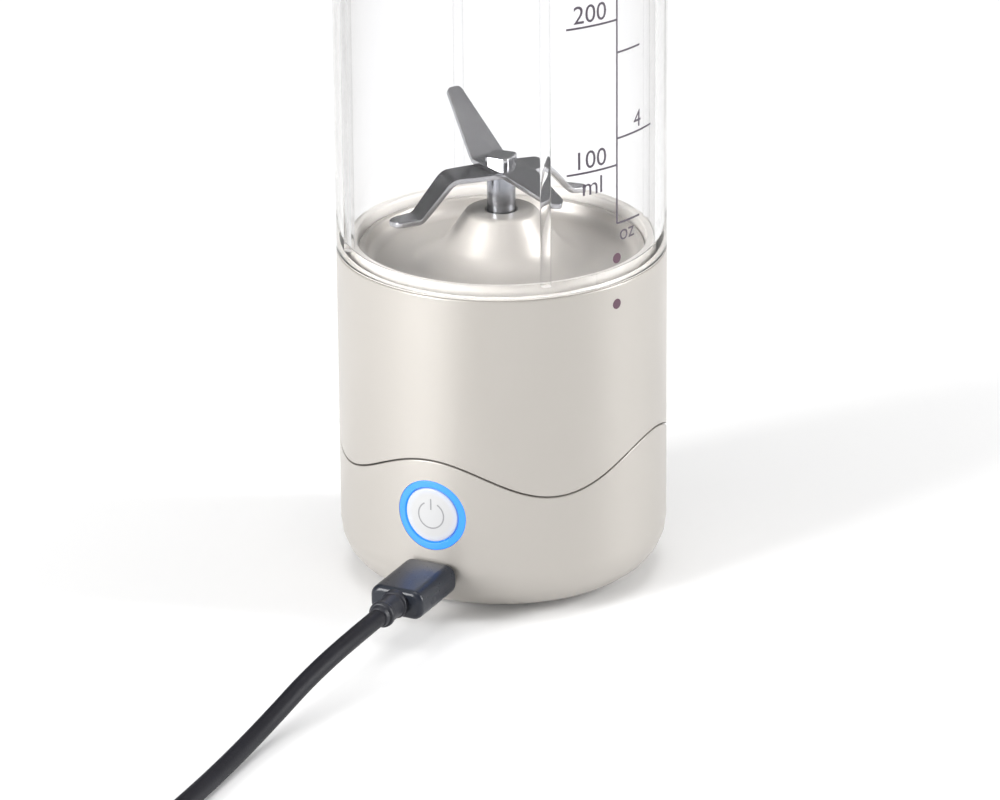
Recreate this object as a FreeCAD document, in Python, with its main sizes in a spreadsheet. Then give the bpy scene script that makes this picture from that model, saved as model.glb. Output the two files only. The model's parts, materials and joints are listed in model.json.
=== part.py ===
import FreeCAD, Part
import math
import os
import Sketcher

# A cordless personal blender: a round motor base that holds two cells, a clear cup that screws
# onto it, a lid with a flip spout, and the charging lead in its port.
# Millimetres, +Z up, origin at the middle of the bottom, front (button and port) towards -Y.

doc = FreeCAD.newDocument("Blender")
V = FreeCAD.Vector
X_AXIS = V(1, 0, 0)
Y_AXIS = V(0, 1, 0)
Z_AXIS = V(0, 0, 1)

# ---------------------------------------------------------------- driving dimensions
SIZES = [
    ("base_radius", 34.5), ("base_height", 72.0), ("wall", 2.2), ("bottom_round", 10.5),
    ("foot_rise", 1.2), ("wave_height", 31.9), ("wave_swing", 3.8), ("wave_count", 4),
    ("rim_rise", 0.2), ("rim_radius", 29.8), ("dish_depth", 3.4), ("cone_foot", 14.6),
    ("cone_top", 7.3), ("cone_rise", 7.7), ("ledge_radius", 23.0), ("flange_thick", 2.0),
    ("neck_depth", 7.8), ("neck_wall", 1.5), ("seal_thick", 1.6), ("lug_height", 0.9),
    ("lug_thick", 1.8), ("thread_lead", 24.0), ("lug_turns", 0.085),
    ("thread_gap", 0.3), ("part_gap", 0.4), ("run_gap", 0.05),
    ("cup_length", 128.0), ("cup_wall", 2.5), ("lip_thick", 2.2), ("mouth_neck", 12.0),
    ("mouth_radius", 31.4), ("mouth_wall", 2.0), ("rib_radius", 1.1),
    ("lid_top", 2.4), ("lid_round", 3.0), ("spout_offset", 15.0),
    ("spout_radius", 7.0), ("spout_wall", 2.0), ("spout_height", 6.2), ("cap_thick", 2.6),
    ("pin_radius", 1.2), ("loop_rod", 2.2), ("loop_half", 25.5), ("loop_reach", 27.0),
    ("shaft_radius", 1.6), ("sleeve_radius", 3.0), ("sleeve_height", 7.9),
    ("blade_thick", 1.2), ("blade_width", 8.0), ("nut_width", 5.4), ("nut_height", 1.7), ("nut_bite", 1.0),
    ("motor_radius", 12.2), ("motor_length", 30.8), ("can_wall", 0.8), ("plate_thick", 1.5),
    ("plate_radius", 22.8), ("core_radius", 9.0), ("magnet_thick", 2.0),
    ("cell_radius", 9.15), ("cell_seat", 7.8), ("boss_circle", 21.2), ("screw_radius", 1.2),
    ("foot_inner", 18.5), ("foot_outer", 23.8), ("board_thick", 1.6), ("board_width", 24.0),
    ("board_height", 36.0), ("board_front", 26.5),
    ("button_radius", 5.9), ("ring_inner", 6.2), ("ring_radius", 7.6), ("button_rise", 23.5),
    ("port_rise", 10.2), ("port_width", 8.94), ("port_height", 3.2), ("plug_width", 12.0),
    ("plug_height", 6.4), ("plug_length", 16.0), ("relief_length", 8.0), ("cord_radius", 1.9),
    ("coil_radius", 21.0), ("coil_band", 7.8),
]
sheet = doc.addObject("Spreadsheet::Sheet", "Sizes")
for row, (alias, value) in enumerate(SIZES, start=1):
    sheet.set("A%d" % row, alias)
    sheet.set("B%d" % row, "%g" % value)
    sheet.setAlias("B%d" % row, alias)
doc.recompute()


class Size:
    """A length with the spreadsheet expression that gives it."""

    def __init__(self, value, text):
        self.value = value
        self.text = text

    def __add__(self, other):
        other = size(other)
        return Size(self.value + other.value, "(%s + %s)" % (self.text, other.text))

    def __sub__(self, other):
        other = size(other)
        return Size(self.value - other.value, "(%s - %s)" % (self.text, other.text))

    def __mul__(self, factor):
        return Size(self.value * factor, "(%s * %.9g)" % (self.text, factor))

    def __neg__(self):
        return self * -1.0

    __radd__ = __add__
    __rmul__ = __mul__

    def __rsub__(self, other):
        return size(other) - self


def size(number):
    """Any number as a Size."""
    return number if isinstance(number, Size) else Size(float(number), "%.9g" % number)


def at(x=0.0, y=0.0, z=0.0):
    """A point made of three sizes or numbers."""
    return (size(x), size(y), size(z))


def vector(point):
    return V(*[size(part).value for part in point])


class Table:
    """The sheet's cells by name."""


T = Table()
for alias, value in SIZES:
    setattr(T, alias, Size(value, "Sizes." + alias))


# ---------------------------------------------------------------- helpers
def bind(thing, name, length):
    """Sets a property and ties it to the sheet."""
    length = size(length)
    setattr(thing, name, length.value)
    if "Sizes" in length.text:
        thing.setExpression(name, length.text)


def place(thing, point=(0, 0, 0), axis=Z_AXIS, angle=0.0):
    """Puts an object at a point, turned about an axis, and ties the point to the sheet."""
    thing.Placement = FreeCAD.Placement(vector(point), FreeCAD.Rotation(axis, angle))
    for letter, part in zip("xyz", point):
        part = size(part)
        if "Sizes" in part.text:
            thing.setExpression("Placement.Base." + letter, part.text)
    return thing


def origin_plane(body, role):
    return [feature for feature in body.Origin.OriginFeatures if feature.Role == role][0]


def fix_point(sketch, geometry, end, x, y):
    """Dimensions one sketch point from the origin."""
    for kind, distance in (("DistanceX", size(x)), ("DistanceY", size(y))):
        index = sketch.addConstraint(
            Sketcher.Constraint(kind, -1, 1, geometry, end, distance.value))
        if "Sizes" in distance.text:
            sketch.setExpression("Constraints[%d]" % index, distance.text)


def outline(sketch, corners):
    """Draws a closed outline of straight lines. A corner is (x, y) or (x, y, rounding)."""
    count = len(corners)
    points = [V(size(corner[0]).value, size(corner[1]).value, 0) for corner in corners]
    for i in range(count):
        sketch.addGeometry(Part.LineSegment(points[i], points[(i + 1) % count]), False)
    for i in range(count):
        sketch.addConstraint(Sketcher.Constraint("Coincident", (i - 1) % count, 2, i, 1))
        fix_point(sketch, i, 1, corners[i][0], corners[i][1])


def rounded(body, corners, matches):
    """Fillets the edges that the outline's rounded corners made, one feature for each radius."""
    radii = {}
    for corner in corners:
        if len(corner) > 2:
            radius = size(corner[2])
            radii.setdefault(radius.text, (radius, []))[1].append(corner)
    for radius, wanted in radii.values():
        names = ["Edge%d" % number for number, edge in enumerate(body.Shape.Edges, start=1)
                 if any(matches(edge, size(c[0]).value, size(c[1]).value) for c in wanted)]
        if not names:
            raise RuntimeError(body.Label + ": no edge to round")
        solid = body.Tip
        fillet = body.newObject("PartDesign::Fillet", body.Name + "_round")
        fillet.Base = (solid, names)
        bind(fillet, "Radius", radius)
        body.Tip = fillet
        doc.recompute()


def is_hoop(edge, radius, height):
    """True for a full circle about Z with this radius at this height."""
    curve = edge.Curve
    return (isinstance(curve, Part.Circle) and abs(curve.Radius - radius) < 1e-4
            and abs(curve.Center.z - height) < 1e-4 and math.hypot(*curve.Center[:2]) < 1e-4)


def along(first, second):
    """A test for straight edges across a plan whose two coordinates are named."""
    def is_side(edge, low, high):
        ends = [vertex.Point for vertex in edge.Vertexes]
        return (len(ends) == 2 and isinstance(edge.Curve, Part.Line)
                and all(abs(getattr(end, first) - low) < 1e-4
                        and abs(getattr(end, second) - high) < 1e-4 for end in ends))
    return is_side


def new_body(label):
    body = doc.addObject("PartDesign::Body", label)
    body.Label = label
    return body


def new_sketch(body, role, offset=0.0):
    """A sketch on one of the body's own origin planes, moved along the plane's normal."""
    sketch = body.newObject("Sketcher::SketchObject", body.Name + "_sketch")
    sketch.AttachmentSupport = [(origin_plane(body, role), "")]
    sketch.MapMode = "FlatFace"
    offset = size(offset)
    sketch.AttachmentOffset = FreeCAD.Placement(V(0, 0, offset.value), FreeCAD.Rotation())
    if "Sizes" in offset.text:
        sketch.setExpression("AttachmentOffset.Base.z", offset.text)
    return sketch


def turned(label, corners):
    """A piece turned about Z from its (radius, height) outline."""
    body = new_body(label)
    sketch = new_sketch(body, "XZ_Plane")
    outline(sketch, corners)
    turn = body.newObject("PartDesign::Revolution", label + "_turn")
    turn.Profile = sketch
    turn.ReferenceAxis = (sketch, ["V_Axis"])
    turn.Angle = 360
    body.Tip = turn
    doc.recompute()
    rounded(body, corners, is_hoop)
    return body


def ring(label, inner, outer, bottom, top):
    """A plain washer or tube about Z."""
    return turned(label, [(inner, bottom), (outer, bottom), (outer, top), (inner, top)])


def slab(label, corners, bottom, height):
    """An outline in plan, padded up from the bottom height."""
    body = new_body(label)
    sketch = new_sketch(body, "XY_Plane", bottom)
    outline(sketch, corners)
    pad = body.newObject("PartDesign::Pad", label + "_pad")
    pad.Profile = sketch
    bind(pad, "Length", height)
    body.Tip = pad
    doc.recompute()
    rounded(body, corners, along("x", "y"))
    return body


def bar(label, corners, front, length):
    """An outline seen from the front (x, z), padded back along +Y from y = -front."""
    body = new_body(label)
    sketch = new_sketch(body, "XZ_Plane", front)
    outline(sketch, corners)
    pad = body.newObject("PartDesign::Pad", label + "_pad")
    pad.Profile = sketch
    pad.Reversed = True
    bind(pad, "Length", length)
    body.Tip = pad
    doc.recompute()
    rounded(body, corners, along("x", "z"))
    return body


def box_corners(half_x, low, high, radius=None):
    """Four corners of an upright rectangle that is centred on x = 0."""
    half_x = size(half_x)
    ends = [(-half_x, low), (half_x, low), (half_x, high), (-half_x, high)]
    return ends if radius is None else [end + (radius,) for end in ends]


def circles(sketch, centres, radius):
    radius = size(radius)
    for x, y in centres:
        centre = V(size(x).value, size(y).value, 0)
        index = sketch.addGeometry(Part.Circle(centre, Z_AXIS, radius.value), False)
        fix_point(sketch, index, 3, x, y)
        rule = sketch.addConstraint(Sketcher.Constraint("Radius", index, radius.value))
        if "Sizes" in radius.text:
            sketch.setExpression("Constraints[%d]" % rule, radius.text)


def posts(body, centres, radius, bottom, height):
    """Round posts that stand up from the bottom height."""
    sketch = new_sketch(body, "XY_Plane", bottom)
    circles(sketch, centres, radius)
    pad = body.newObject("PartDesign::Pad", body.Name + "_posts")
    pad.Profile = sketch
    bind(pad, "Length", height)
    body.Tip = pad
    doc.recompute()


def cut(body, sketch, depth, forward=True):
    """A pocket along the sketch's normal (or against it), which has to remove material."""
    before = body.Shape.Volume
    pocket = body.newObject("PartDesign::Pocket", body.Name + "_pocket")
    pocket.Profile = sketch
    pocket.Reversed = forward
    bind(pocket, "Length", depth)
    body.Tip = pocket
    doc.recompute()
    if body.Shape.Volume > before - 0.01:
        raise RuntimeError(body.Label + ": a pocket removed nothing")


def holes(body, centres, radius, bottom, depth):
    """Round holes upwards from the bottom height."""
    sketch = new_sketch(body, "XY_Plane", bottom)
    circles(sketch, centres, radius)
    cut(body, sketch, depth)


def on_circle(radius, degrees):
    return [(radius * math.cos(math.radians(a)), radius * math.sin(math.radians(a)))
            for a in degrees]


def cylinder(label, radius, length, point, axis=Z_AXIS, angle=0.0):
    thing = doc.addObject("Part::Cylinder", label)
    bind(thing, "Radius", radius)
    bind(thing, "Height", length)
    return place(thing, point, axis, angle)


def block(label, lengths, point):
    """A box with its low corner at the point."""
    thing = doc.addObject("Part::Box", label)
    for name, length in zip(("Length", "Width", "Height"), lengths):
        bind(thing, name, length)
    return place(thing, point)


def cut_from(label, base, tool):
    thing = doc.addObject("Part::Cut", label)
    thing.Base = base
    thing.Tool = tool
    doc.recompute()
    return thing


def fused(label, things):
    thing = doc.addObject("Part::MultiFuse", label)
    thing.Shapes = things
    doc.recompute()
    return thing


def shared(label, things):
    thing = doc.addObject("Part::MultiCommon", label)
    thing.Shapes = things
    doc.recompute()
    return thing


def grouped(label, things):
    """Several separate identical solids in one node."""
    thing = doc.addObject("Part::Compound", label)
    thing.Links = things
    doc.recompute()
    return thing


def copies(label, source, points, axis=Z_AXIS, angles=None):
    """The same solid at several points."""
    made = []
    for index, point in enumerate(points):
        copy = doc.addObject("Part::Feature", "%s_%d" % (label, index + 1))
        copy.Shape = source.Shape.copy()
        turn = angles[index] if angles else 0.0
        made.append(place(copy, point, axis, turn))
    return grouped(label, made)


PARTS = []


def keep(thing, label=None):
    """Marks an object as a sub-part to be written out."""
    if label:
        thing.Label = label
    PARTS.append(thing)
    return thing


def lugs(label, wall_radius, bottom, outward):
    """Three ramps of a coarse thread on a round wall, each a short strip along a helix about Z."""
    strips = []
    reach = T.lug_height + T.part_gap
    low = wall_radius - T.part_gap if outward else wall_radius - T.lug_height
    for index in range(3):
        helix = doc.addObject("Part::Helix", label + "_path")
        bind(helix, "Pitch", T.thread_lead)
        bind(helix, "Height", Size(T.thread_lead.value * T.lug_turns.value,
                                   "(Sizes.thread_lead * Sizes.lug_turns)"))
        bind(helix, "Radius", wall_radius)
        section = doc.addObject("Part::Plane", label + "_section")
        bind(section, "Length", reach)
        bind(section, "Width", T.lug_thick)
        place(section, at(x=low), X_AXIS, 90)
        sweep = doc.addObject("Part::Sweep", label + "_strip")
        sweep.Sections = [section]
        sweep.Spine = (helix, [])
        sweep.Solid = True
        sweep.Frenet = True
        doc.recompute()
        placed = doc.addObject("Part::Feature", "%s_ramp_%d" % (label, index + 1))
        placed.Shape = sweep.Shape.copy()
        strips.append(place(placed, at(z=bottom), Z_AXIS, 120.0 * index))
    return strips


def route(points):
    """A path of straight runs joined by tangent arcs, with the arcs' radii."""
    edges = []
    radii = []
    start = points[0]
    for index in range(1, len(points) - 1):
        before = points[index - 1] - points[index]
        after = points[index + 1] - points[index]
        half_turn = (math.pi - before.getAngle(after)) / 2
        trim = 0.45 * min(before.Length, after.Length)
        radius = trim / math.tan(half_turn)
        radii.append(radius)
        before.normalize()
        after.normalize()
        first = points[index] + before * trim
        last = points[index] + after * trim
        middle_way = (before + after).normalize()
        bulge = points[index] + middle_way * (math.hypot(radius, trim) - radius)
        edges.append(Part.LineSegment(start, first).toShape())
        edges.append(Part.Arc(first, bulge, last).toShape())
        start = last
    edges.append(Part.LineSegment(start, points[-1]).toShape())
    return Part.Wire(edges), radii


def tube(label, points, radius):
    """A solid round lead along a route."""
    path, radii = route(points)
    thickness = radius.value
    disc = Part.Face(Part.Wire(Part.Circle(points[0], points[1] - points[0], thickness).toShape()))
    solid = path.makePipe(disc)
    section = math.pi * thickness ** 2
    drift = abs(solid.Volume / (section * path.Length) - 1)
    print("%s: length %.1f, radii %s, volume off by %.4f"
          % (label, path.Length, ["%.0f" % r for r in radii], drift))
    if drift > 0.01:
        raise RuntimeError(label + ": the tube's volume is wrong")
    thing = doc.addObject("Part::Feature", label)
    thing.Shape = solid
    return thing


# ---------------------------------------------------------------- heights that follow
seam = T.base_height
socket_floor = seam - T.neck_depth - T.seal_thick
flange_bottom = socket_floor - T.flange_thick
ledge_bottom = flange_bottom - T.wall
dish_floor = seam + T.rim_rise - T.dish_depth
dish_under = dish_floor - T.wall
plate_top = dish_under - 2.3
plate_bottom = plate_top - T.plate_thick
motor_bottom = plate_bottom - T.motor_length
cone_peak = seam + T.cone_rise
inner_radius = T.base_radius - T.wall
floor_top = T.foot_rise + T.wall
neck_inner = T.rim_radius + T.part_gap
neck_outer = neck_inner + T.neck_wall
lug_reach = neck_outer + T.lug_height
socket_radius = lug_reach + T.part_gap
boss_angles = (90, 210, 330)
boss_points = on_circle(T.boss_circle, (90, 240, 300))


# ---------------------------------------------------------------- base: outer shells
def wave_ring(label, flat_height):
    """A ring whose one end is flat and whose other end follows the wavy joint of the shells."""
    inner = T.base_radius.value - 2 * T.wall.value + 1.0
    outer = T.base_radius.value + 2.0
    steps = 24 * int(T.wave_count.value)

    def wave(radius):
        points = []
        for step in range(steps):
            turn = 2 * math.pi * step / steps
            lift = T.wave_swing.value * math.cos(T.wave_count.value * (turn + math.pi / 2))
            points.append(V(radius * math.cos(turn), radius * math.sin(turn),
                            T.wave_height.value + lift))
        curve = Part.BSplineCurve()
        curve.interpolate(points, PeriodicFlag=True)
        return curve.toShape()

    def level(radius):
        return Part.Circle(V(0, 0, flat_height), Z_AXIS, radius).toShape()

    edges = {"in": (wave(inner), level(inner)), "out": (wave(outer), level(outer))}
    faces = [
        Part.makeRuledSurface(edges["in"][0], edges["out"][0]),
        Part.makeRuledSurface(edges["in"][0], edges["in"][1]),
        Part.makeRuledSurface(edges["out"][0], edges["out"][1]),
        Part.Face([Part.Wire(edges["out"][1]), Part.Wire(edges["in"][1])]),
    ]
    shell = Part.Shell(faces)
    shell.sewShape()
    solid = Part.Solid(shell)
    if solid.Volume < 0:
        solid.reverse()
    thing = doc.addObject("Part::Feature", label)
    thing.Shape = solid
    return thing


def make_lower_housing():
    top = T.wave_height + T.wave_swing + 4.0
    shell = turned("lower_shell", [
        (T.foot_inner, T.foot_rise), (T.foot_inner, T.foot_rise + 0.6), (T.foot_outer, T.foot_rise + 0.6),
        (T.foot_outer, T.foot_rise), (T.base_radius, T.foot_rise, T.bottom_round),
        (T.base_radius, top), (inner_radius, top),
        (inner_radius, floor_top, T.bottom_round - T.wall), (0, floor_top), (0, T.foot_rise)])
    posts(shell, boss_points, 3.6, T.foot_rise + 0.7, 26.0 - T.foot_rise - 0.7)
    posts(shell, [(6, -21), (-6, -21)], 2.0, T.foot_rise + 1.0,
          T.port_rise - T.port_height * 0.5 - T.board_thick - T.foot_rise - 1.0)
    holes(shell, boss_points, 2.5, 0, 16.0)
    holes(shell, boss_points, T.screw_radius + 0.2, 15.0, 12.0)
    button_hole = new_sketch(shell, "XZ_Plane", T.base_radius + 1.0)
    circles(button_hole, [(0, T.button_rise)], T.ring_radius)
    cut(shell, button_hole, 8.0, forward=False)
    half = T.port_height * 0.5 + 0.2
    port_hole = bar("port_hole", box_corners(T.port_width * 0.5 + 0.2, T.port_rise - half,
                                             T.port_rise + half, T.port_height * 0.5),
                    T.base_radius + 1.0, 8.0)
    wave = wave_ring("above_wave", T.wave_height.value + T.wave_swing.value + 8.0)
    opened = cut_from("lower_opened", shell, port_hole)
    keep(cut_from("lower_housing", opened, wave))


def make_upper_housing():
    low = T.wave_height - T.wave_swing - 4.0
    shell = turned("upper_shell", [
        (inner_radius, low), (T.base_radius, low), (T.base_radius, seam, 0.5),
        (socket_radius, seam), (socket_radius, flange_bottom), (T.ledge_radius, flange_bottom),
        (T.ledge_radius, ledge_bottom), (inner_radius, ledge_bottom)])
    posts(shell, boss_points, 3.2, 26.0, flange_bottom - 26.0)
    holes(shell, boss_points, T.screw_radius, 20.0, 16.0)
    holes(shell, on_circle(27.2, boss_angles), 1.2, 50.0, flange_bottom - 49.0)
    wave = wave_ring("below_wave", T.wave_height.value - T.wave_swing.value - 8.0)
    trimmed = cut_from("upper_trimmed", shell, wave)
    ramps = lugs("socket", socket_radius, socket_floor + T.seal_thick + 2.9, False)
    keep(fused("upper_housing", [trimmed] + ramps))


make_lower_housing()
make_upper_housing()


# ---------------------------------------------------------------- base: blade platform and seals
def make_platform():
    under_wall = T.rim_radius - T.wall
    seal_radius = T.sleeve_radius + 2.2
    body = turned("blade_platform", [
        (under_wall, flange_bottom), (socket_radius - 0.1, flange_bottom),
        (socket_radius - 0.1, socket_floor), (T.rim_radius, socket_floor),
        (T.rim_radius, seam + T.rim_rise, 0.4), (T.rim_radius - 1.3, seam + T.rim_rise, 0.4),
        (T.rim_radius - 2.0, dish_floor, 2.0), (T.cone_foot, dish_floor, 5.0),
        (T.cone_top, cone_peak, 0.8), (T.sleeve_radius + T.part_gap, cone_peak),
        (T.sleeve_radius + T.part_gap, cone_peak - 1.8), (seal_radius, cone_peak - 1.8),
        (seal_radius, plate_top), (seal_radius + 3.0, plate_top),
        (seal_radius + 3.0, dish_under), (under_wall, dish_under)])
    plate_posts = on_circle(20.0, boss_angles)
    posts(body, plate_posts, 2.4, plate_top, dish_under - plate_top + 0.5)
    holes(body, plate_posts, 1.0, plate_top, 3.0)
    edge_posts = on_circle(27.2, boss_angles)
    posts(body, edge_posts, 2.2, flange_bottom, dish_under - flange_bottom + 0.5)
    holes(body, edge_posts, 1.0, flange_bottom, 5.0)
    keep(body)
    keep(ring("shaft_bushing", T.shaft_radius + T.run_gap, seal_radius, plate_top,
              cone_peak - 7.4))
    keep(turned("shaft_seal", [
        (T.shaft_radius + T.run_gap, cone_peak - 7.4), (seal_radius, cone_peak - 7.4),
        (seal_radius, cone_peak - 1.8), (T.shaft_radius + 1.6, cone_peak - 1.8),
        (T.shaft_radius + T.run_gap, cone_peak - 4.0)]))
    plate = ring("motor_plate", 4.0, T.plate_radius, plate_bottom, plate_top)
    holes(plate, plate_posts, 1.0, plate_bottom, T.plate_thick)
    holes(plate, [(0, 10), (0, -10)], 1.0, plate_bottom, T.plate_thick)
    keep(plate)


def screw(label, head_radius, head_height, shank_radius, length):
    """A pan-head screw, head below, with a cross recess; the shank stands up from height 0."""
    body = turned(label, [
        (0, -head_height), (head_radius, -head_height, 0.4), (head_radius, 0),
        (shank_radius, 0), (shank_radius, length), (0, length)])
    sketch = new_sketch(body, "XY_Plane", -head_height)
    half = head_radius * 0.15
    arm = head_radius * 0.6
    outline(sketch, [(-arm, -half), (-half, -half), (-half, -arm), (half, -arm), (half, -half),
                     (arm, -half), (arm, half), (half, half), (half, arm), (-half, arm),
                     (-half, half), (-arm, half)])
    cut(body, sketch, head_height * 0.5)
    return body


def make_screws():
    housing = screw("housing_screw", 2.2, 1.5, T.screw_radius, 18.0)
    keep(copies("housing_screws", housing, [at(x, y, 15.0) for x, y in boss_points]))
    platform = screw("platform_screw", 1.9, 1.3, size(1.0), T.wall + 4.5)
    keep(copies("platform_screws", platform,
                [at(x, y, ledge_bottom) for x, y in on_circle(27.2, boss_angles)]))
    plate = screw("plate_screw", 1.8, 1.2, size(1.0), T.plate_thick + 2.6)
    keep(copies("plate_screws", plate,
                [at(x, y, plate_bottom) for x, y in on_circle(20.0, boss_angles)]))
    motor = screw("motor_screw", 1.7, 1.2, size(1.0), T.plate_thick + 1.4)
    keep(copies("motor_screws", motor, [at(0, y, plate_top) for y in (10, -10)], X_AXIS,
                [180.0, 180.0]))


make_platform()
make_screws()
keep(turned("foot_ring", [
    (T.foot_inner, 0, 0.3), (T.foot_outer, 0, 0.3), (T.foot_outer, T.foot_rise + 0.6),
    (T.foot_inner, T.foot_rise + 0.6)]))


# ---------------------------------------------------------------- motor
def sector(label, inner, outer, bottom, top, half_angle, middle):
    """A wall segment about Z, centred on an angle in degrees."""
    face = Part.makeCylinder(outer, top - bottom, V(0, 0, bottom), Z_AXIS, 2 * half_angle)
    face = face.cut(Part.makeCylinder(inner, top - bottom, V(0, 0, bottom)))
    thing = doc.addObject("Part::Feature", label)
    thing.Shape = face
    return place(thing, at(), Z_AXIS, middle - half_angle)


def make_motor():
    bore = T.shaft_radius + T.run_gap
    can_inner = T.motor_radius - T.can_wall
    can_top = plate_bottom
    magnet_inner = can_inner - T.magnet_thick
    can = turned("motor_can", [
        (can_inner, motor_bottom + 1.0), (T.motor_radius, motor_bottom + 1.0),
        (T.motor_radius, can_top, 0.8), (bore, can_top), (bore, can_top - 1.6),
        (can_inner, can_top - 1.6)])
    holes(can, [(0, 10), (0, -10)], 1.0, can_top - 1.6, 1.6)
    keep(can)
    cap = turned("motor_end_cap", [
        (bore, motor_bottom), (T.motor_radius, motor_bottom, 0.6),
        (T.motor_radius, motor_bottom + 1.0), (can_inner, motor_bottom + 1.0),
        (can_inner, motor_bottom + 2.5), (bore, motor_bottom + 2.5)])
    posts(cap, [(0, 6.4), (0, -6.4)], 1.2, motor_bottom + 2.0, 1.5)
    posts(cap, [(6, 0), (-6, 0)], 1.3, motor_bottom - 1.2, 1.6)
    keep(cap)
    magnets = [sector("magnet", magnet_inner.value, can_inner.value, motor_bottom.value + 6.0,
                      can_top.value - 4.0, 62.0, middle) for middle in (0.0, 180.0)]
    keep(grouped("magnets", magnets))
    core_bottom = motor_bottom + 9.0
    core_top = can_top - 7.0
    commutator_radius = size(3.7)
    brush_start = commutator_radius + T.run_gap
    brushes = [block("brush", (2.4, 3.4, 2.0), at(-1.2, y, motor_bottom + 3.5))
               for y in (brush_start, -brush_start - 3.4)]
    keep(grouped("brushes", brushes))
    keep(ring("commutator", T.shaft_radius, commutator_radius, motor_bottom + 2.9,
              motor_bottom + 6.6))
    core_slots = []
    for index in range(5):
        wide = slab("core_slot", [(4.2, -1.4, 0.5), (7.8, -2.6, 0.5), (7.8, 2.6, 0.5),
                                  (4.2, 1.4, 0.5)], core_bottom, core_top - core_bottom)
        mouth = block("slot_mouth", (3.0, 1.2, core_top - core_bottom), at(7.5, -0.6, core_bottom))
        pair = fused("slot_pair", [wide, mouth])
        core_slots.append(place(pair, at(), Z_AXIS, 72.0 * index))
    blank = ring("core_blank", T.shaft_radius, T.core_radius, core_bottom, core_top)
    core = keep(cut_from("armature_core", blank, fused("core_slots", core_slots)))
    wound = ring("wound_blank", 4.2, 7.7, core_bottom - 2.0, core_top + 2.0)
    sleeve = ring("wound_sleeve", T.shaft_radius, 4.2, core_bottom - 2.0, core_bottom)
    keep(cut_from("armature_windings", fused("wound", [wound, sleeve]), core))
    keep(turned("motor_shaft", [
        (0, motor_bottom - 1.6), (T.shaft_radius, motor_bottom - 1.6, 0.3),
        (T.shaft_radius, blade_seat + T.blade_thick * 2 + T.nut_bite),
        (0, blade_seat + T.blade_thick * 2 + T.nut_bite)]))


# ---------------------------------------------------------------- blades
blade_seat = cone_peak + T.sleeve_height


def bent_strip(points, thickness):
    """The outline of a strip whose underside runs through the points (distance, height)."""
    top = []
    for index, (x, z) in enumerate(points):
        before = points[max(index - 1, 0)]
        after = points[min(index + 1, len(points) - 1)]
        lean = math.atan2(size(z - before[1]).value, x - before[0]) if index else None
        lift = math.atan2(size(after[1] - z).value, after[0] - x) if after[0] != x else lean
        lean = lift if lean is None else lean
        middle = (lean + lift) / 2
        spread = thickness * (1 / math.cos((lift - lean) / 2))
        top.append((x - spread * math.sin(middle), z + spread * math.cos(middle)))
    return [(x, z) for x, z in points] + top[::-1]


def blade(label, bottom, spine, plan, turn):
    """A stamped blade: a bent strip, trimmed to its plan outline, with the shaft's hole."""
    strip = bar(label + "_strip", bent_strip(spine, T.blade_thick), T.blade_width,
                T.blade_width * 2.0)
    trim = slab(label + "_trim", plan, bottom - 20.0, 50.0)
    hole = cylinder(label + "_hole", T.shaft_radius, 60.0, at(z=bottom - 30.0))
    shaped = shared(label + "_shaped", [strip, trim])
    piece = cut_from(label, shaped, hole)
    return keep(place(piece, at(), Z_AXIS, turn))


def make_blades():
    low = blade_seat
    high = blade_seat + T.blade_thick
    half = T.blade_width * 0.5
    blade("lower_blade", low,
          [(-24.8, low - 8.4), (-18.4, low - 8.0), (-11.5, low), (9.5, low), (14.8, low - 6.2),
           (19.8, low - 7.2)],
          [(-24.8, 0.6, 0.5), (-23.8, -2.2, 1.0), (-5.5, -half, 2.0), (5.5, -half, 2.0),
           (18.8, -0.6, 0.5), (19.8, 1.8, 0.8), (18.4, 2.6, 1.0), (5.5, half, 2.0),
           (-5.5, half, 2.0), (-23.4, 2.2, 1.0)], 48.0)
    blade("upper_blade", high,
          [(-20.6, high + 12.2), (-5.4, high), (7.0, high), (22.6, high - 2.6)],
          [(-19.6, -1.4, 0.8), (-5.5, -half, 2.0), (5.5, -half, 2.0), (21.6, -1.6, 0.6),
           (22.6, 0.2, 0.6), (21.0, 1.8, 0.8), (5.5, half, 2.0), (-5.5, half, 2.0),
           (-19.6, 1.8, 0.8)], -32.0)
    keep(ring("blade_sleeve", T.shaft_radius, T.sleeve_radius, cone_peak - 1.0, blade_seat))
    nut_bottom = high + T.blade_thick
    side = T.nut_width * 0.5
    nut = slab("blade_nut", [(-side, -side, 0.9), (side, -side, 0.9), (side, side, 0.9),
                             (-side, side, 0.9)], nut_bottom, T.nut_height)
    holes(nut, [(0, 0)], T.shaft_radius, nut_bottom, T.nut_bite)
    keep(nut)


make_motor()
make_blades()


# ---------------------------------------------------------------- cells, boards, wiring
def make_power():
    spread = T.motor_radius + T.part_gap + T.cell_radius
    cell_top = ledge_bottom - 1.0
    cell_body = turned("cell_body", [
        (0, T.cell_seat), (T.cell_radius, T.cell_seat, 0.8), (T.cell_radius, cell_top - 0.9, 0.8),
        (2.8, cell_top - 0.9), (2.8, cell_top), (0, cell_top)])
    for label, x in (("cell_left", -spread), ("cell_right", spread)):
        cell = doc.addObject("Part::Feature", label)
        cell.Shape = cell_body.Shape.copy()
        keep(place(cell, at(x=x)))
    half = size(9.8)
    long_half = spread + 5.4
    tray = slab("cell_tray", [(-long_half, -half, 9.0), (long_half, -half, 9.0),
                              (long_half, half, 9.0), (-long_half, half, 9.0)],
                T.cell_seat - 2.2, 2.0)
    posts(tray, [(13, 0), (-13, 0)], 3.0, floor_top, T.cell_seat - floor_top - 1.0)
    keep(tray)
    strip_half = size(2.5)
    keep(slab("cell_link", [(-spread, -strip_half), (spread, -strip_half), (spread, strip_half),
                            (-spread, strip_half)], T.cell_seat - 0.2, 0.2))


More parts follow.
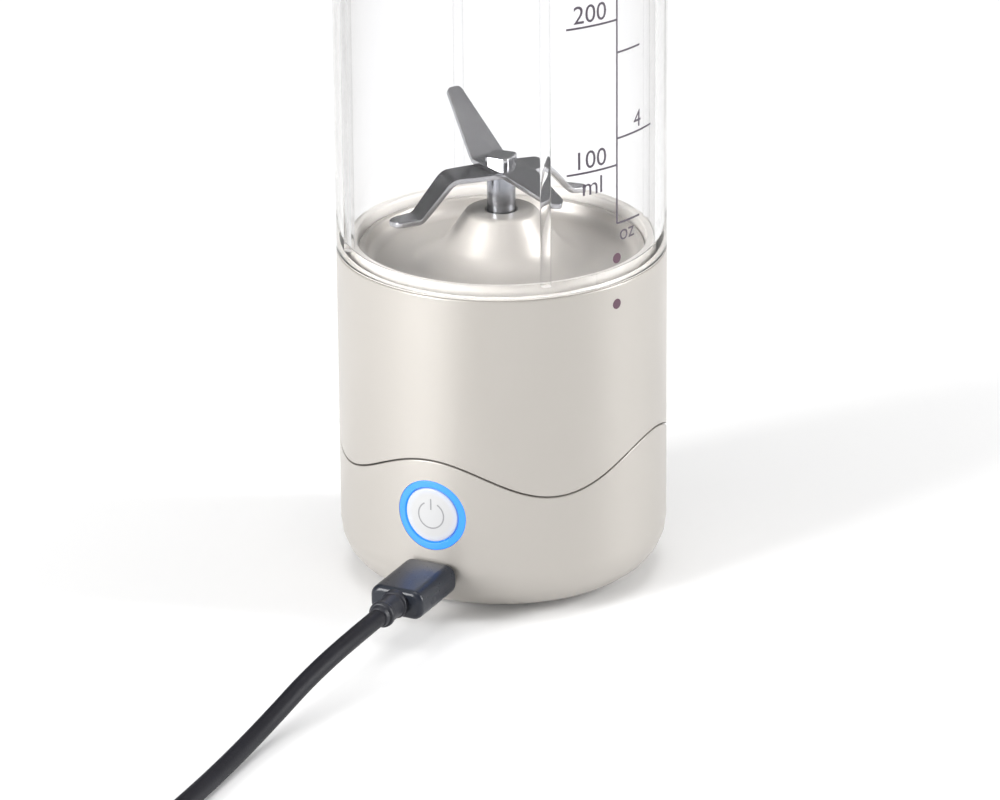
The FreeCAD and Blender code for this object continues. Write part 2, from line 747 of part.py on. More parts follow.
def make_boards():
    board_top = T.port_rise - T.port_height * 0.5
    board_back = T.board_front - T.board_thick
    half = T.board_width * 0.5
    keep(block("charge_board", (13.2, 11.6, T.board_thick),
               at(-6.6, -29.0, board_top - T.board_thick)))
    keep(block("main_board", (T.board_width, T.board_thick, T.board_height),
               at(-half, -T.board_front, board_top)))
    port_half = T.port_height * 0.5
    outer = box_corners(T.port_width * 0.5, T.port_rise - port_half, T.port_rise + port_half,
                        port_half * 0.98)
    mouth = T.base_radius - 1.2
    socket = bar("receptacle_blank", outer, mouth, mouth - T.board_front)
    inner_half = port_half - 0.3
    hollow = bar("receptacle_hollow",
                 box_corners(T.port_width * 0.5 - 0.3, T.port_rise - inner_half,
                             T.port_rise + inner_half, inner_half * 0.98),
                 mouth + 1.0, mouth + 1.0 - T.board_front - 0.4)
    keep(cut_from("usb_receptacle", socket, hollow))
    keep(block("receptacle_tongue", (6.7, mouth - T.board_front - 1.4, 0.7),
               at(-3.35, 1.0 - mouth, T.port_rise - 0.35)))
    switch = bar("tact_switch", box_corners(3.0, T.button_rise - 3.0, T.button_rise + 3.0, 0.4),
                 T.board_front + 3.5, 3.5)
    well = new_sketch(switch, "XZ_Plane", T.board_front + 3.5)
    circles(well, [(0, T.button_rise)], 1.58)
    cut(switch, well, 2.7, forward=False)
    keep(switch)
    leds = [block("led", (1.6, 0.8, 1.6), at(x - 0.8, -T.board_front - 0.8,
                                             T.button_rise + z - 0.8))
            for x, z in on_circle(6.9, (45, 135, 225, 315))]
    keep(grouped("indicator_leds", leds))
    keep(block("power_inductor", (7.0, 3.2, 7.0), at(-9.0, -T.board_front - 3.2, 34.5)))
    return board_back


def curved_front(label, body, radius):
    """Trims a piece to the round front of the base."""
    drum = cylinder(label + "_drum", radius, 60.0, at())
    return shared(label, [body, drum])


def make_button():
    back = T.base_radius - 2.1
    glow = bar("glow_blank", box_corners(T.ring_radius + 1.0, T.button_rise - 9.0,
                                         T.button_rise + 9.0), T.base_radius + 1.0, 3.1)
    outer = cylinder("glow_outer", T.ring_radius, 12.0, at(0, -T.base_radius + 6.0, T.button_rise),
                     X_AXIS, 90)
    inner = cylinder("glow_inner", T.ring_inner, 20.0, at(0, -T.base_radius + 9.0, T.button_rise),
                     X_AXIS, 90)
    round_glow = cut_from("glow_round", shared("glow_disc", [glow, outer]), inner)
    keep(curved_front("light_ring", round_glow, T.base_radius))
    face = cylinder("button_face", T.button_radius, T.base_radius + 1.0 - back,
                    at(0, -back, T.button_rise), X_AXIS, 90)
    flange = cylinder("button_flange", T.ring_radius - 0.8, 1.0,
                      at(0, 1.0 - back, T.button_rise), X_AXIS, 90)
    keep(fused("power_button", [curved_front("button_front", face, T.base_radius - 0.1), flange]))
    keep(cylinder("switch_plunger", 1.5, back - 1.0 - T.board_front - 1.6,
                  at(0, -T.board_front - 1.6, T.button_rise), X_AXIS, 90))


def make_wiring(board_back):
    lead = size(0.8)
    bottom = motor_bottom.value - 1.2
    back = -board_back.value
    spread = (T.motor_radius + T.part_gap + T.cell_radius).value
    cell_top = (ledge_bottom - 1.0).value
    for label, side, drop in (("motor_lead_red", 1, 7.0), ("motor_lead_black", -1, 5.5)):
        x = 6.0 * side
        keep(tube(label, [V(x, 0, bottom), V(x, 0, bottom - 4.5), V(x, -6.5, bottom - drop),
                          V(x * 0.9, -15.5, bottom - drop), V(x * 0.9, back, bottom - drop)],
                  lead))
    for label, side, height in (("cell_lead_red", 1, 41.0), ("cell_lead_black", -1, 38.5)):
        x = spread * side
        rise = cell_top + 2.6
        keep(tube(label, [V(x, 0, cell_top), V(x, 0, rise), V(9.4 * side, -12.6, rise),
                          V(3.4 * side, -17.6, rise - 3.0), V(3.0 * side, -18.8, rise - 9.0),
                          V(3.0 * side, -20.0, height), V(3.0 * side, back, height)],
                  lead))


make_power()
make_button()
make_wiring(make_boards())


# ---------------------------------------------------------------- cup
def make_cup():
    cup_top = seam + T.cup_length
    shoulder = cup_top - T.mouth_neck
    inner = T.base_radius - T.cup_wall
    mouth_inner = T.mouth_radius - T.mouth_wall
    lip = seam + T.lip_thick
    shell = turned("cup_shell", [
        (neck_inner, socket_floor + T.seal_thick), (neck_outer, socket_floor + T.seal_thick),
        (neck_outer, seam), (T.base_radius, seam, 0.4), (T.base_radius, shoulder, 1.2),
        (T.mouth_radius, shoulder), (T.mouth_radius, cup_top, 0.5), (mouth_inner, cup_top, 0.5),
        (mouth_inner, shoulder, 3.0), (inner, shoulder - 4.0, 3.0), (inner, lip, 0.8),
        (neck_inner, lip)])
    ribs = []
    for angle in (42.0, 132.0, 222.0, 312.0):
        rib = cylinder("cup_rib", T.rib_radius, shoulder - 6.0 - lip, at(x=inner + 0.3, z=lip))
        holder = grouped("rib_at", [rib])
        ribs.append(place(holder, at(), Z_AXIS, angle))
    low_ramps = lugs("neck", neck_outer,
                     socket_floor + T.seal_thick + 2.9 - T.lug_thick - T.thread_gap, True)
    high_ramps = lugs("mouth", T.mouth_radius, shoulder + 7.0, True)
    keep(fused("cup", [shell] + ribs + low_ramps + high_ramps))
    keep(turned("cup_seal", [
        (neck_inner, socket_floor, 0.3), (neck_outer, socket_floor, 0.3),
        (neck_outer, socket_floor + T.seal_thick), (neck_inner, socket_floor + T.seal_thick)]))
    return cup_top, shoulder, mouth_inner


# ---------------------------------------------------------------- lid
def make_lid(cup_top, shoulder, mouth_inner):
    skirt_inner = T.mouth_radius + T.lug_height + T.part_gap
    under = cup_top + 1.4
    top = under + T.lid_top
    spout_top = top + T.spout_height
    y = -T.spout_offset
    shell = turned("lid_shell", [
        (skirt_inner, shoulder + 0.3), (T.base_radius, shoulder + 0.3),
        (T.base_radius, top, T.lid_round), (0, top), (0, under), (skirt_inner, under, 1.0)])
    posts(shell, [(0, y)], T.spout_radius + T.spout_wall, top - 1.0, spout_top - top + 1.0)
    holes(shell, [(0, y)], T.spout_radius, under, 40.0)
    hinge_y = size(-2.0)
    hinge_z = spout_top - 0.4
    ears = []
    for x in (4.3, -6.5):
        ears.append(block("cap_ear", (2.2, 5.0, hinge_z - top + 3.2), at(x, hinge_y - 2.5, top - 1.0)))
    pin_hole = cylinder("cap_pin_hole", T.pin_radius, 16.0, at(-8.0, hinge_y, hinge_z), Y_AXIS, 90)
    loop_z = top + 0.4 + T.loop_rod + 0.4
    rails = []
    for x in (T.loop_half + T.loop_rod + 0.5, -T.loop_half - T.loop_rod - 3.0):
        rails.append(block("loop_post", (2.5, 6.0, loop_z - top + 3.6), at(x, -3.0, top - 1.0)))
    loop_hole = cylinder("loop_pin_hole", T.pin_radius, 70.0, at(-35.0, 0, loop_z), Y_AXIS, 90)
    ramps = lugs("lid", skirt_inner, shoulder + 7.0 - T.lug_thick - T.thread_gap, False)
    raw = fused("lid_raw", [shell] + ears + rails + ramps)
    keep(cut_from("lid", raw, fused("lid_holes", [pin_hole, loop_hole])))
    keep(ring("lid_seal", mouth_inner + 0.2, T.mouth_radius + 0.2, cup_top, under))
    keep(cylinder("cap_pin", T.pin_radius, 13.0, at(-6.5, hinge_y, hinge_z), Y_AXIS, 90))
    half = T.loop_half + T.loop_rod + 3.0
    inner_end = T.loop_half - T.loop_rod
    pins = [cylinder("loop_pin", T.pin_radius, half - inner_end, at(x, 0, loop_z), Y_AXIS, 90)
            for x in (inner_end, -half)]
    keep(grouped("loop_pins", pins))
    make_cap(spout_top, hinge_y, hinge_z, y)
    make_loop(loop_z)
    print("spout cap hinge: y %.2f z %.2f; loop hinge: z %.2f"
          % (hinge_y.value, hinge_z.value, loop_z.value))


def make_cap(spout_top, hinge_y, hinge_z, y):
    bottom = spout_top + 0.2
    disc = turned("cap_disc", [
        (0, bottom + 0.8), (T.spout_radius + T.spout_wall - 0.1, bottom + 0.8),
        (T.spout_radius + T.spout_wall - 0.1, bottom), (T.spout_radius + T.spout_wall + 0.8, bottom),
        (T.spout_radius + T.spout_wall + 0.8, bottom + T.cap_thick, 1.0),
        (0, bottom + T.cap_thick)])
    place(disc, at(y=y))
    arm = block("cap_arm", (7.6, 4.0, T.cap_thick - 0.6), at(-3.8, hinge_y - 4.0, bottom + 0.1))
    barrel = cylinder("cap_barrel", 2.4, 7.6, at(-3.8, hinge_y, hinge_z), Y_AXIS, 90)
    bore = cylinder("cap_bore", T.pin_radius + 0.06, 12.0, at(-6.0, hinge_y, hinge_z), Y_AXIS, 90)
    keep(cut_from("spout_cap", fused("cap_raw", [disc, arm, barrel]), bore))
    plug = turned("spout_seal", [
        (0, spout_top - 1.6), (T.spout_radius - 0.4, spout_top - 1.6, 0.3),
        (T.spout_radius - 0.4, spout_top), (T.spout_radius + T.spout_wall - 0.1, spout_top),
        (T.spout_radius + T.spout_wall - 0.1, bottom + 0.8), (0, bottom + 0.8)])
    keep(place(plug, at(y=y)))


def make_loop(loop_z):
    z = loop_z.value
    half = T.loop_half.value
    reach = T.loop_reach.value
    bow = [V(half, 0, z), V(half, 11.0, z), V(half - 12.0, reach, z), V(12.0 - half, reach, z),
           V(-half, 11.0, z), V(-half, 0, z)]
    rod = tube("loop_rod_path", bow, T.loop_rod)
    ends = []
    eye_half = T.loop_rod + 0.2
    for x in (T.loop_half - eye_half, -T.loop_half - eye_half):
        ends.append(cylinder("loop_eye", T.loop_rod + 0.4, eye_half * 2.0, at(x, 0, loop_z),
                             Y_AXIS, 90))
    bore = cylinder("loop_bore", T.pin_radius + 0.06, 70.0, at(-35.0, 0, loop_z), Y_AXIS, 90)
    keep(cut_from("carry_loop", fused("loop_raw", [rod] + ends), bore))


make_lid(*make_cup())


# ---------------------------------------------------------------- charging lead
def make_lead():
    front = T.base_radius + 0.5
    rise = T.port_rise
    half = T.plug_height * 0.5
    body = bar("plug_body", box_corners(T.plug_width * 0.5, rise - half, rise + half, 2.4),
               front + T.plug_length, T.plug_length)
    keep(body)
    shell_half = T.port_height * 0.5 - 0.3 - T.run_gap - 0.02
    tip = T.board_front + 1.0
    shell = bar("plug_shell_blank",
                box_corners(T.port_width * 0.5 - 0.3 - T.run_gap, rise - shell_half,
                            rise + shell_half, shell_half * 0.98), front, front - tip)
    inner_half = shell_half - 0.3
    hollow = bar("plug_shell_hollow",
                 box_corners(T.port_width * 0.5 - 0.6 - T.run_gap, rise - inner_half,
                             rise + inner_half, inner_half * 0.9), front - 0.8, front)
    keep(cut_from("plug_shell", shell, hollow))
    relief_end = front + T.plug_length + T.relief_length
    relief = doc.addObject("Part::Cone", "plug_relief")
    bind(relief, "Radius1", T.cord_radius + 1.1)
    bind(relief, "Radius2", T.cord_radius + 0.3)
    bind(relief, "Height", T.relief_length)
    keep(place(relief, at(0, -(front + T.plug_length), rise), X_AXIS, 90))
    y = -relief_end.value
    floor_z = T.cord_radius.value + 0.05
    points = [V(0, y, rise.value), V(0, y - 10.0, rise.value), V(-1.9, y - 26.0, 7.6),
              V(-3.3, y - 43.0, 3.4), V(-3.0, y - 60.0, floor_z), V(-2.1, y - 77.0, floor_z),
              V(-1.8, y - 94.0, floor_z), V(-2.3, y - 109.0, floor_z)]
    keep(tube("cord", points, T.cord_radius))
    centre = at(18.6, -181.0)
    band = T.coil_band * 0.5
    coil = keep(ring("cord_coil", T.coil_radius - band, T.coil_radius + band, 0.05,
                     T.coil_band + 0.05))
    place(coil, centre)
    end_z = T.coil_band + 0.05
    end_y = size(-193.0)
    moulding = bar("usb_a_moulding", box_corners(7.8, end_z, end_z + 7.2, 1.6), 11.0, 22.0)
    spout = doc.addObject("Part::Cone", "usb_a_relief")
    bind(spout, "Radius1", T.cord_radius + 0.3)
    bind(spout, "Radius2", T.cord_radius + 1.1)
    bind(spout, "Height", T.relief_length)
    place(spout, at(0, -19.0, end_z + 3.6), X_AXIS, -90)
    whole = fused("usb_a_body", [moulding, spout])
    keep(place(whole, at(29.0, end_y), Z_AXIS, -90))
    case = bar("usb_a_case", box_corners(6.0, end_z + 1.35, end_z + 5.85, 0.5), 0, 18.8)
    inside = bar("usb_a_hollow", box_corners(5.7, end_z + 1.65, end_z + 5.55, 0.3), -1.8, 20.0)
    keep(place(cut_from("usb_a_shell", case, inside), at(40.0, end_y), Z_AXIS, -90))


make_lead()


# ---------------------------------------------------------------- checks and files
doc.recompute()
failed = [thing.Label for thing in doc.Objects
          if "Invalid" in thing.State or "Error" in thing.State]
if failed:
    raise RuntimeError("failed objects: " + ", ".join(failed))
os.makedirs("parts", exist_ok=True)
for thing in PARTS:
    if thing.Shape.isNull() or not thing.Shape.isValid() or not thing.Shape.Solids:
        raise RuntimeError("bad shape: " + thing.Label)
    thing.Shape.exportStep(os.path.join("parts", thing.Label + ".step"))
print("%d sub-parts written" % len(PARTS))
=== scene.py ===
import json
import math

import bmesh
import bpy
from mathutils import Matrix, Vector


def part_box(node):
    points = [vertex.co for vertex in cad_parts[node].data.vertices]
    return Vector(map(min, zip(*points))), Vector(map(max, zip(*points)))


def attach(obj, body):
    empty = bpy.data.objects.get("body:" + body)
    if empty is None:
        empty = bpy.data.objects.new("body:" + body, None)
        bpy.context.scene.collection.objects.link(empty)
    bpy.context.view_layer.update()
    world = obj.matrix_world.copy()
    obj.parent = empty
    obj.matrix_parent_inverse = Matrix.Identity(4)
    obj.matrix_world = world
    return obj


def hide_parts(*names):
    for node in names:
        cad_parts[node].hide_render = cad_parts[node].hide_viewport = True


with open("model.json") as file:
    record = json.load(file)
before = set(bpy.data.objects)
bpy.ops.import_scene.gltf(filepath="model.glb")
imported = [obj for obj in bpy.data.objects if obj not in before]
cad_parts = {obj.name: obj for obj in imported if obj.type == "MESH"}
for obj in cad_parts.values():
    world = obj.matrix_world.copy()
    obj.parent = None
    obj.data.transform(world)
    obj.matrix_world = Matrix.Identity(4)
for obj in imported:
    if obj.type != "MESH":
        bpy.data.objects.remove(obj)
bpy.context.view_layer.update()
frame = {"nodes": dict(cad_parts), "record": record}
scene = bpy.context.scene
nodes = frame["nodes"]
mm = 0.001


# Camera. A long lens looks down at the base from its front right; the cup
# runs out of its view at the top.
camera_distance = 1.300
camera_turn = math.radians(26.0)
camera_rise = math.radians(23.25)
toward_camera = Vector((math.sin(camera_turn) * math.cos(camera_rise),
                        -math.cos(camera_turn) * math.cos(camera_rise),
                        math.sin(camera_rise)))
view_right = Vector((math.cos(camera_turn), math.sin(camera_turn), 0.0))
view_up = toward_camera.cross(view_right)
camera_place = toward_camera * camera_distance
aim_height = 36.7 * mm
aim_aside = 0.6 * mm
aim = Vector((0.0, 0.0, aim_height)) - view_right * aim_aside
backward = (camera_place - aim).normalized()
lean = math.radians(0.44)
up = view_up * math.cos(lean) + view_right * math.sin(lean)
right = up.cross(backward).normalized()
up = backward.cross(right)
camera_data = bpy.data.cameras.new("camera")
camera_data.lens = 219.7
camera_data.sensor_width = 36.0
camera_data.clip_end = 50.0
camera = bpy.data.objects.new("camera", camera_data)
camera.matrix_world = Matrix((
    (right.x, up.x, backward.x, camera_place.x),
    (right.y, up.y, backward.y, camera_place.y),
    (right.z, up.z, backward.z, camera_place.z),
    (0.0, 0.0, 0.0, 1.0)))
scene.collection.objects.link(camera)
scene.camera = camera


# Charging cord. A round black rubber jacket over four copper cores. It leaves
# the plug straight, sinks to the table and runs to a small coil, tied up short.
def socket_set(node, name, value):
    node.inputs[name].default_value = value


def surface_group():
    """Colour, roughness and bump that a moulded or rolled surface shows from near by."""
    group = bpy.data.node_groups.new("worked_surface", "ShaderNodeTree")
    face = group.interface
    for name, kind in (("Colour", "NodeSocketColor"), ("Second colour", "NodeSocketColor"),
                       ("Patch size", "NodeSocketFloat"), ("Roughness", "NodeSocketFloat"),
                       ("Roughness spread", "NodeSocketFloat"), ("Grain size", "NodeSocketFloat"),
                       ("Grain depth", "NodeSocketFloat"), ("Stretch", "NodeSocketVector")):
        face.new_socket(name=name, in_out="INPUT", socket_type=kind)
    face.new_socket(name="Colour", in_out="OUTPUT", socket_type="NodeSocketColor")
    face.new_socket(name="Roughness", in_out="OUTPUT", socket_type="NodeSocketFloat")
    face.new_socket(name="Normal", in_out="OUTPUT", socket_type="NodeSocketVector")
    tree = group.nodes
    given = tree.new("NodeGroupInput")
    result = tree.new("NodeGroupOutput")
    place = tree.new("ShaderNodeTexCoord")
    stretch = tree.new("ShaderNodeVectorMath")
    stretch.operation = "MULTIPLY"
    patches = tree.new("ShaderNodeTexNoise")
    grain = tree.new("ShaderNodeTexNoise")
    socket_set(patches, "Detail", 4.0)
    socket_set(grain, "Detail", 3.0)
    mix = tree.new("ShaderNodeMix")
    mix.data_type = "RGBA"
    spread = tree.new("ShaderNodeMath")
    spread.operation = "SUBTRACT"
    spread.inputs[1].default_value = 0.5
    scaled = tree.new("ShaderNodeMath")
    scaled.operation = "MULTIPLY_ADD"
    bump = tree.new("ShaderNodeBump")
    socket_set(bump, "Strength", 1.0)
    link = group.links.new
    link(place.outputs["Object"], stretch.inputs[0])
    link(given.outputs["Stretch"], stretch.inputs[1])
    link(place.outputs["Object"], patches.inputs["Vector"])
    link(given.outputs["Patch size"], patches.inputs["Scale"])
    link(stretch.outputs[0], grain.inputs["Vector"])
    link(given.outputs["Grain size"], grain.inputs["Scale"])
    link(patches.outputs["Fac"], mix.inputs["Factor"])
    link(given.outputs["Colour"], mix.inputs[6])
    link(given.outputs["Second colour"], mix.inputs[7])
    link(grain.outputs["Fac"], spread.inputs[0])
    link(spread.outputs[0], scaled.inputs[0])
    link(given.outputs["Roughness spread"], scaled.inputs[1])
    link(given.outputs["Roughness"], scaled.inputs[2])
    link(grain.outputs["Fac"], bump.inputs["Height"])
    link(given.outputs["Grain depth"], bump.inputs["Distance"])
    link(mix.outputs[2], result.inputs["Colour"])
    link(scaled.outputs[0], result.inputs["Roughness"])
    link(bump.outputs["Normal"], result.inputs["Normal"])
    return group


worked_surface = surface_group()


def material(name, colour, second, roughness, spread=0.1, patch=120.0, grain=1500.0,
             depth=0.00001, metallic=0.0, coat=0.0, stretch=(1.0, 1.0, 1.0), shine=0.5):
    """A solid material: a Principled shader fed by the worked surface."""
    made = bpy.data.materials.new(name)
    made.use_nodes = True
    tree = made.node_tree
    shader = tree.nodes["Principled BSDF"]
    surface = tree.nodes.new("ShaderNodeGroup")
    surface.node_tree = worked_surface
    socket_set(surface, "Colour", (*colour, 1.0))
    socket_set(surface, "Second colour", (*second, 1.0))
    socket_set(surface, "Patch size", patch)
    socket_set(surface, "Roughness", roughness)
    socket_set(surface, "Roughness spread", spread)
    socket_set(surface, "Grain size", grain)
    socket_set(surface, "Grain depth", depth)
    socket_set(surface, "Stretch", stretch)
    tree.links.new(surface.outputs["Colour"], shader.inputs["Base Color"])
    tree.links.new(surface.outputs["Roughness"], shader.inputs["Roughness"])
    tree.links.new(surface.outputs["Normal"], shader.inputs["Normal"])
    socket_set(shader, "Metallic", metallic)
    socket_set(shader, "Specular IOR Level", shine)
    socket_set(shader, "Coat Weight", coat)
    socket_set(shader, "Coat Roughness", 0.14)
    return made


jacket = material("cord_jacket", (0.006, 0.006, 0.009), (0.011, 0.011, 0.016), 0.48,
                  spread=0.25, grain=2600.0, depth=0.00003, shine=0.22)
cord_diameter = 3.8 * mm
cord_points = [(0.0, -59.0, 10.2), (0.0, -69.0, 10.2), (-1.9, -85.0, 7.6), (-3.3, -102.0, 3.4),
               (-3.0, -119.0, 1.95), (-2.1, -136.0, 1.95), (-1.8, -153.0, 1.95),
               (-2.6, -168.0, 1.95)]
coil_x, coil_y = 18.6, -181.0
points_each_turn = 16
turn_lanes = [(22.9, 1.95), (19.1, 1.95), (22.9, 5.75)]
lane_change = 0.25
curve_shrink = 0.981
for count in range(points_each_turn * len(turn_lanes) + 1):
    lane = min(count / points_each_turn, len(turn_lanes) - 0.001)
    here = int(lane)
    last_lane = here + 1 == len(turn_lanes)
    blend = 0.0 if last_lane else max(0.0, (lane - here - 1.0 + lane_change) / lane_change)
    after = turn_lanes[here if last_lane else here + 1]
    blend = blend * blend * (3.0 - 2.0 * blend)
    radius = (turn_lanes[here][0] * (1.0 - blend) + after[0] * blend) / curve_shrink
    height = turn_lanes[here][1] * (1.0 - blend) + after[1] * blend
    angle = math.pi + 2.0 * math.pi * count / points_each_turn
    cord_points.append((coil_x + radius * math.cos(angle), coil_y + radius * math.sin(angle),
                        height))
cord_points += [(-1.6, -188.0, 7.4), (3.6, -192.4, 10.4), (10.0, -193.0, 11.45)]
cord_curve = bpy.data.curves.new("charging_cord", "CURVE")
cord_curve.dimensions = "3D"
cord_curve.bevel_depth = cord_diameter * 0.5
cord_curve.bevel_resolution = 6
cord_curve.use_fill_caps = True
cord_curve.resolution_u = 10
spline = cord_curve.splines.new("NURBS")
spline.points.add(len(cord_points) - 1)
for spot, (x, y, z) in zip(spline.points, cord_points):
    spot.co = (x * mm, y * mm, z * mm, 1.0)
spline.order_u = 3
spline.use_endpoint_u = True
charging_cord = bpy.data.objects.new("charging_cord", cord_curve)
charging_cord.data.materials.append(jacket)
scene.collection.objects.link(charging_cord)
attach(charging_cord, "lead")
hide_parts("cord", "cord_coil")


# Plug. A soft black overmould round the USB-C shell, with a collar and a
# stepped strain relief behind it that the cord runs through.
def spun(outline, steps=192):
    """A round moulding about Z from (radius, height, corner radius) corners, in millimetres."""
    made = bmesh.new()
    corners = [made.verts.new((r * mm, 0.0, z * mm)) for r, z, _ in outline]
    lines = []
    for first, second in zip(corners, corners[1:] + corners[:1]):
        if first.co.x > 1e-7 or second.co.x > 1e-7:
            lines.append(made.edges.new((first, second)))
    bmesh.ops.spin(made, geom=corners + lines, cent=(0, 0, 0), axis=(0, 0, 1),
                   angle=2.0 * math.pi, steps=steps, use_merge=True)
    bmesh.ops.remove_doubles(made, verts=made.verts, dist=1e-7)
    bmesh.ops.dissolve_degenerate(made, edges=made.edges, dist=1e-8)
    for r, z, size in outline:
        if size:
            ring = [e for e in made.edges
                    if all(abs(math.hypot(v.co.x, v.co.y) - r * mm) < 1e-6
                           and abs(v.co.z - z * mm) < 1e-6 for v in e.verts)]
            bmesh.ops.bevel(made, geom=ring, offset=size * mm, segments=6 if size > 0.6 else 3,
                            profile=0.5, affect="EDGES", material=-1)
    bmesh.ops.recalc_face_normals(made, faces=made.faces)
    return made


def boxed(low, high):
    """A box between two corners, in millimetres."""
    made = bmesh.new()
    bmesh.ops.create_cube(made, size=1.0)
    size = [(b - a) * mm for a, b in zip(low, high)]
    middle = [(a + b) * 0.5 * mm for a, b in zip(low, high)]
    bmesh.ops.scale(made, vec=size, verts=made.verts)
    bmesh.ops.translate(made, vec=middle, verts=made.verts)
    return made


def soften(made, edges, size, segments=4):
    bmesh.ops.bevel(made, geom=edges, offset=size * mm, segments=segments, profile=0.5,
                    affect="EDGES", material=-1)


def edges_along(made, axis):
    """The straight edges of a box that run along one axis."""
    return [e for e in made.edges
            if abs((e.verts[0].co - e.verts[1].co).normalized()[axis]) > 0.999]


def edges_past(made, axis, limit):
    """The edges that lie wholly past a limit, in millimetres: above it, or below a negative one."""
    sign = 1.0 if limit > 0.0 else -1.0
    return [e for e in made.edges if all(v.co[axis] * sign > abs(limit) * mm for v in e.verts)]


def moved(made, turn=None, shift=(0.0, 0.0, 0.0)):
    if turn:
        bmesh.ops.rotate(made, cent=(0, 0, 0), verts=made.verts,
                         matrix=Matrix.Rotation(math.radians(turn[0]), 3, turn[1]))
    bmesh.ops.translate(made, vec=[part * mm for part in shift], verts=made.verts)
    return made


def piece(name, made, body, slot_name, finish, *stands_for, crease=32.0):
    """Turns a worked mesh into a finished piece on its body."""
    mesh = bpy.data.meshes.new(name)
    made.to_mesh(mesh)
    made.free()
    mesh.shade_smooth()
    mesh.set_sharp_from_angle(angle=math.radians(crease))
    thing = bpy.data.objects.new(name, mesh)
    mesh.materials.append(finish)
    scene.collection.objects.link(thing)
    thing.modifiers.new("flat_walls", "WEIGHTED_NORMAL").keep_sharp = True
    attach(thing, body)
    if stands_for:
        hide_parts(*stands_for)
    return thing


def painted(finish, *names):
    """Gives the frame's own pieces their material."""
    for name in names:
        nodes[name].data.materials.clear()
        nodes[name].data.materials.append(finish)


def joined(*parts):
    """Several worked meshes as one."""
    whole = parts[0]
    for part in parts[1:]:
        mesh = bpy.data.meshes.new("joined")
        part.to_mesh(mesh)
        part.free()
        whole.from_mesh(mesh)
        bpy.data.meshes.remove(mesh)
    return whole


plug_black = material("plug_black", (0.012, 0.014, 0.020), (0.020, 0.024, 0.034), 0.30,
                      spread=0.15, grain=2400.0, depth=0.00002, shine=0.35)
relief_black = material("relief_black", (0.014, 0.015, 0.020), (0.026, 0.027, 0.034), 0.40,
                        spread=0.2, grain=2400.0, depth=0.00003, shine=0.3)
overmould = boxed((-6.0, -51.0, 7.0), (6.0, -35.0, 13.4))
soften(overmould, edges_along(overmould, 1), 2.4, 8)
soften(overmould, edges_past(overmould, 1, -50.9), 1.2, 5)
soften(overmould, [e for e in overmould.edges if all(v.co.y > -35.1 * mm for v in e.verts)],
       0.5, 3)
plug_mould = piece("plug_overmould", overmould, "lead", "black_plastic", plug_black, "plug_body")
cord_height = 10.2
relief_outline = [(0.0, 50.6, 0), (3.0, 50.6, 0), (3.0, 52.2, 0.4), (2.6, 52.3, 0.2),
                  (2.5, 56.4, 0.2), (2.85, 56.6, 0.3), (2.75, 57.8, 0.3), (2.3, 57.9, 0.1),
                  (2.15, 59.2, 0.4), (0.0, 59.2, 0)]
relief_mesh = moved(spun(relief_outline, 64), (90.0, "X"), (0.0, 0.0, cord_height))
plug_sleeve = piece("plug_sleeve", relief_mesh, "lead", "black_rubber", relief_black, "plug_relief")
nickel = material("nickel", (0.62, 0.60, 0.56), (0.54, 0.52, 0.48), 0.26, spread=0.2,
                  grain=900.0, depth=0.000004, metallic=1.0, stretch=(1.0, 0.08, 1.0))
painted(nickel, "plug_shell")


# Far end of the lead. A USB-A plug rests on the coil: a black moulding with a
# tapered neck and a folded nickel shell.
usb_middle_y = -193.0
usb_width = 11.0
usb_mould = boxed((18.0, usb_middle_y - usb_width / 2.0, 7.85),
                  (40.0, usb_middle_y + usb_width / 2.0, 15.05))
usb_low, usb_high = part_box("usb_a_body")
bmesh.ops.scale(usb_mould, vec=(1, (usb_high.y - usb_low.y) / (usb_width * mm), 1),
                space=Matrix.Translation((0, -usb_middle_y * mm, 0)), verts=usb_mould.verts)
soften(usb_mould, edges_along(usb_mould, 0), 1.6, 6)
soften(usb_mould, [e for e in usb_mould.edges if all(v.co.x < 18.1 * mm for v in e.verts)],
       0.9, 4)
soften(usb_mould, edges_past(usb_mould, 0, 39.9), 0.4, 3)
neck = spun([(0.0, 10.0, 0), (2.15, 10.0, 0.3), (3.0, 18.4, 0), (0.0, 18.4, 0)], 48)
neck = moved(neck, (90.0, "Y"), (0.0, usb_middle_y, 11.45))
usb_end = piece("usb_moulding", joined(usb_mould, neck), "lead", "black_plastic", plug_black,
                "usb_a_body")
painted(nickel, "usb_a_shell")


# Lower housing. A pearl moulding with a deep rounded bottom edge. Its top edge
# waves round the base; the button and the port open through the front.
base_radius = 34.5
housing_bore = 32.3
button_height = 23.5
joint_height = 31.9
joint_swing = 3.8
joint_waves = 4.0
half_groove = 0.14
pearl = material("pearl_plastic", (0.420, 0.397, 0.368), (0.408, 0.385, 0.356), 0.42, spread=0.05,
                 patch=60.0, grain=5200.0, depth=0.0000016, metallic=0.35, coat=0.3)


def wave_height(spot, clearance):
    """The height of the wavy joint at a point on the wall."""
    around = math.atan2(spot.y, spot.x)
    return (joint_height + joint_swing * math.cos(joint_waves * around) + clearance) * mm


def waved(made, level, clearance, corner):
    """Gives the edge ring at one height the wave of the joint and eases its outer corner."""
    rim = [v for v in made.verts if abs(v.co.z - level * mm) < 1e-6]
    for v in rim:
        v.co.z = wave_height(v.co, clearance)
    outer = [e for e in made.edges
             if all(v in rim and math.hypot(v.co.x, v.co.y) > (base_radius - 0.5) * mm
                    for v in e.verts)]
    soften(made, outer, corner, 2)


